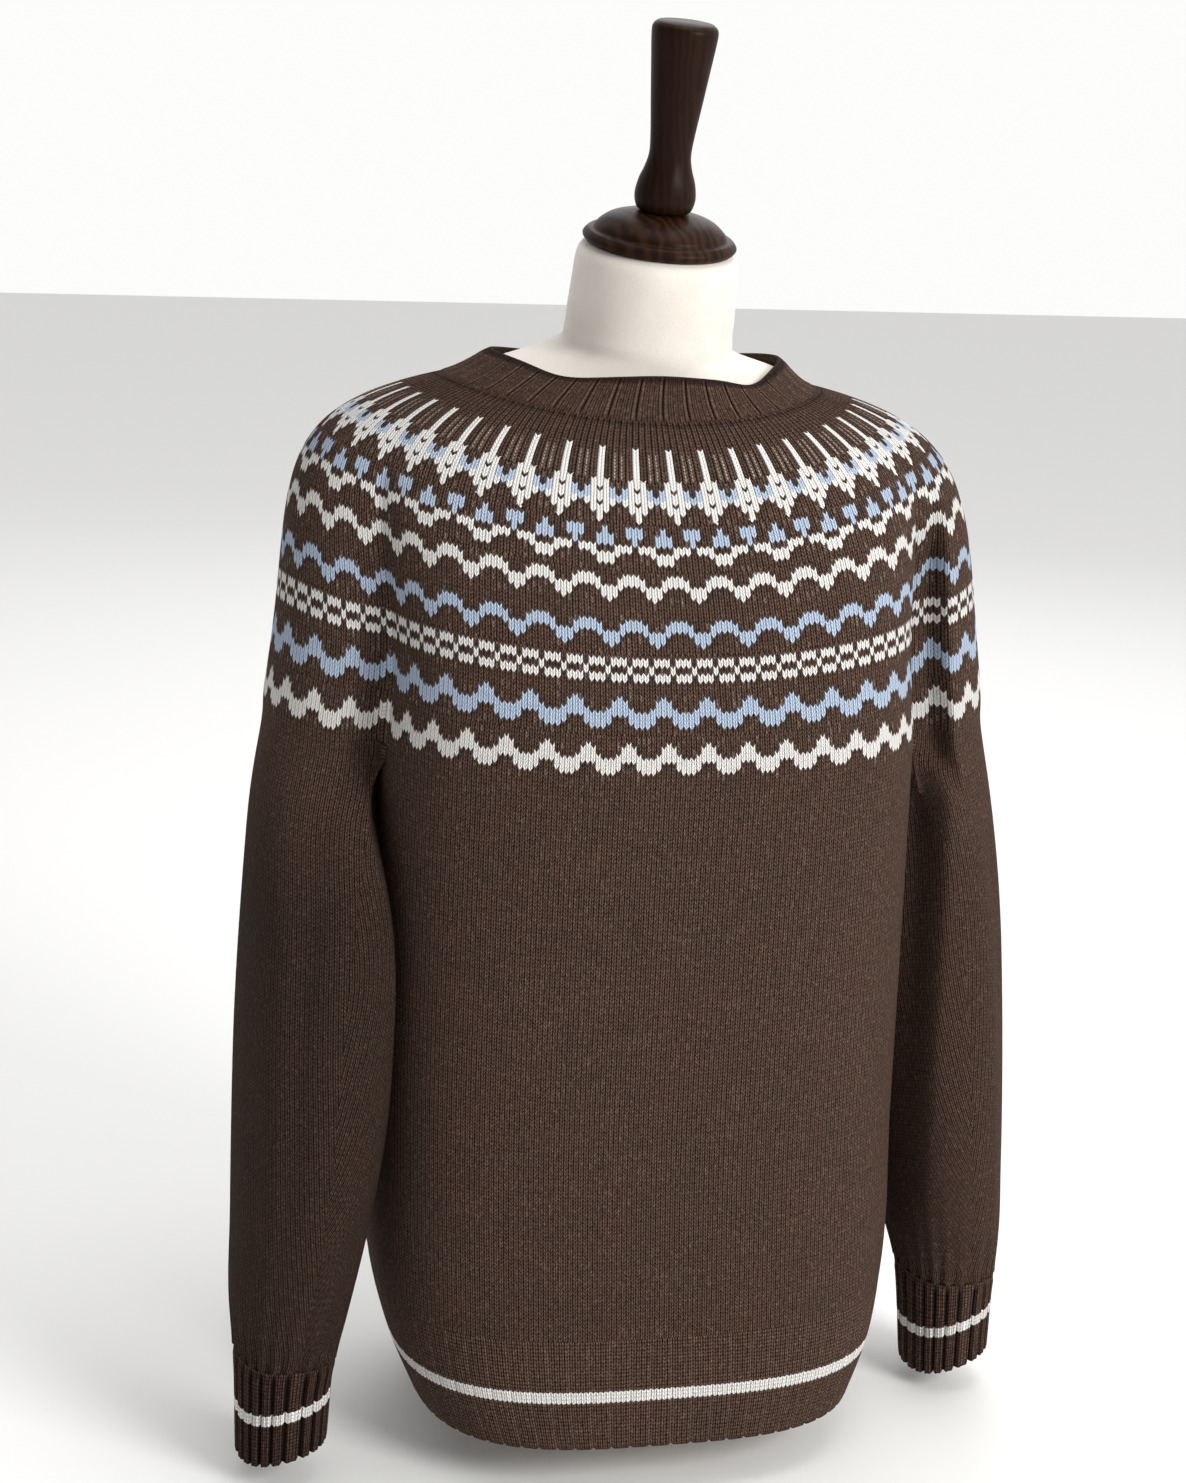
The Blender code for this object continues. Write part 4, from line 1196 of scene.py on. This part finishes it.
def jerseyMaterial():
    material, tree, shader = newMaterial("jersey")
    fine = noise(tree, objectPoint(tree, scale=(1.0, 1.0, 0.5)), *form["fine"])
    soft = noise(tree, objectPoint(tree), *form["soft"])
    tint = between(tree, scaled(tree, fine, 0.4, times(tree, soft, 0.6)), 0.35, 0.65)
    colour = mixColours(tree, tint, form["shade"], form["colour"])
    normal = bump(tree, fine, *form["relief"])
    fill(tree, shader, {"Base Color": colour, "Normal": normal, **form["shader"]})
    return material


def makeForm():
    angle = -math.pi / 2 + 2 * math.pi * np.arange(form["columns"]) / form["columns"]
    onNeck = capMatrix()
    rows = []
    for section in form["neck"]:
        level = -section["drop"] - 2 * halfGap
        flat = [(section["halfWidth"] * math.cos(a), -section["halfDepth"] * math.sin(a), level)
                for a in angle]
        rows.append(np.array([onNeck @ Vector(point) for point in flat]))
    for t in form["bandSteps"]:
        depth = wall["band"] + byDirection(angle, form["bandClearance"])
        rows.append(insideCloth(lambda at: bandPoint(angle, at + 0 * angle), t, depth))
    ends = byDirection(angle, form["shoulderEnd"])
    for share in form["shoulderSteps"]:
        depth = wall["plain"] + byDirection(angle, form["clearance"])
        rows.append(insideCloth(lambda at: yokePoint(angle, at + 0 * angle), ends * share, depth))
    for section in form["torso"][::-1]:
        c, s = squaredCircle(angle, form["power"])
        y = -np.where(s > 0, section["front"], section["back"]) * s
        rows.append(np.stack([section["halfWidth"] * c, y, section["z"] + 0 * c], axis=-1))
    bm = newCloth()
    sheet = smoothRows(rows, form["rows"])
    ends = layGrid(bm, sheet, np.arange(form["columns"] + 1) * 1.0, np.arange(form["rows"])[:, None] * 1.0)
    for ring in ends:
        bmesh.ops.contextual_create(bm, geom=ring)
    addPiece("jerseyForm", bm, jerseyMaterial(), "form_torso", form["sharp"])


def woodMaterial(name, turn, scale, contrast):
    material, tree, shader = newMaterial(name)
    point = objectPoint(tree, scale=(1.0, 1.0, 0.12), turn=turn)
    wander = noise(tree, point, *cap["wander"])
    rings = {**cap["rings"], "Vector": point, "Scale": cap["rings"]["Scale"] * scale}
    rings = outputs(tree, "TexWave", rings, wave_type="BANDS")["Fac"]
    pores = noise(tree, objectPoint(tree, scale=(1.0, 1.0, 0.08), turn=turn), *cap["pores"])
    grain = scaled(tree, wander, 0.6, times(tree, rings, 0.4))
    lightness = times(tree, between(tree, grain, 0.3, 0.75), contrast)
    colour = mixColours(tree, lightness, cap["dark"], cap["light"])
    colour = mixColours(tree, between(tree, pores, 0.62, 0.72), colour, cap["dark"])
    normal = bump(tree, scaled(tree, pores, -0.5, grain), *cap["relief"])
    fill(tree, shader, {"Base Color": colour, "Normal": normal, **cap["shader"]})
    return material


def makeTurned(name, node, profile, material):
    rows = np.array([(row["radius"], row["height"]) for row in profile])
    curve = smoothRows(rows, (len(rows) - 1) * cap["between"] + 1)
    outline = [(0.0, curve[0][1])] + [tuple(point) for point in curve] + [(0.0, curve[-1][1])]
    bm = bmesh.new()
    verts = [bm.verts.new((radius, 0.0, height)) for radius, height in outline]
    edges = [bm.edges.new(pair) for pair in zip(verts, verts[1:])]
    bmesh.ops.spin(bm, geom=verts + edges, cent=(0, 0, 0), axis=(0, 0, 1),
                   angle=2 * math.pi, steps=cap["steps"], use_merge=True)
    bmesh.ops.remove_doubles(bm, verts=bm.verts, dist=1e-6)
    bmesh.ops.transform(bm, matrix=capMatrix(), verts=bm.verts)
    addPiece(name, bm, material, node, cap["sharp"])


makeForm()
capWood = woodMaterial("capWood", (1.35, 0.3, 0.0), 0.4, 0.3)
makeTurned("turnedCap", "neck_cap", cap["disc"], capWood)
handleWood = woodMaterial("handleWood", (0.0, 0.15, 0.4), 0.6, 0.09)
makeTurned("turnedHandle", "cap_handle", cap["handle"], handleWood)

placeCamera()
placeLights()
makeFloor()
bpy.context.scene.view_settings.view_transform = "Standard"
print("studio set")
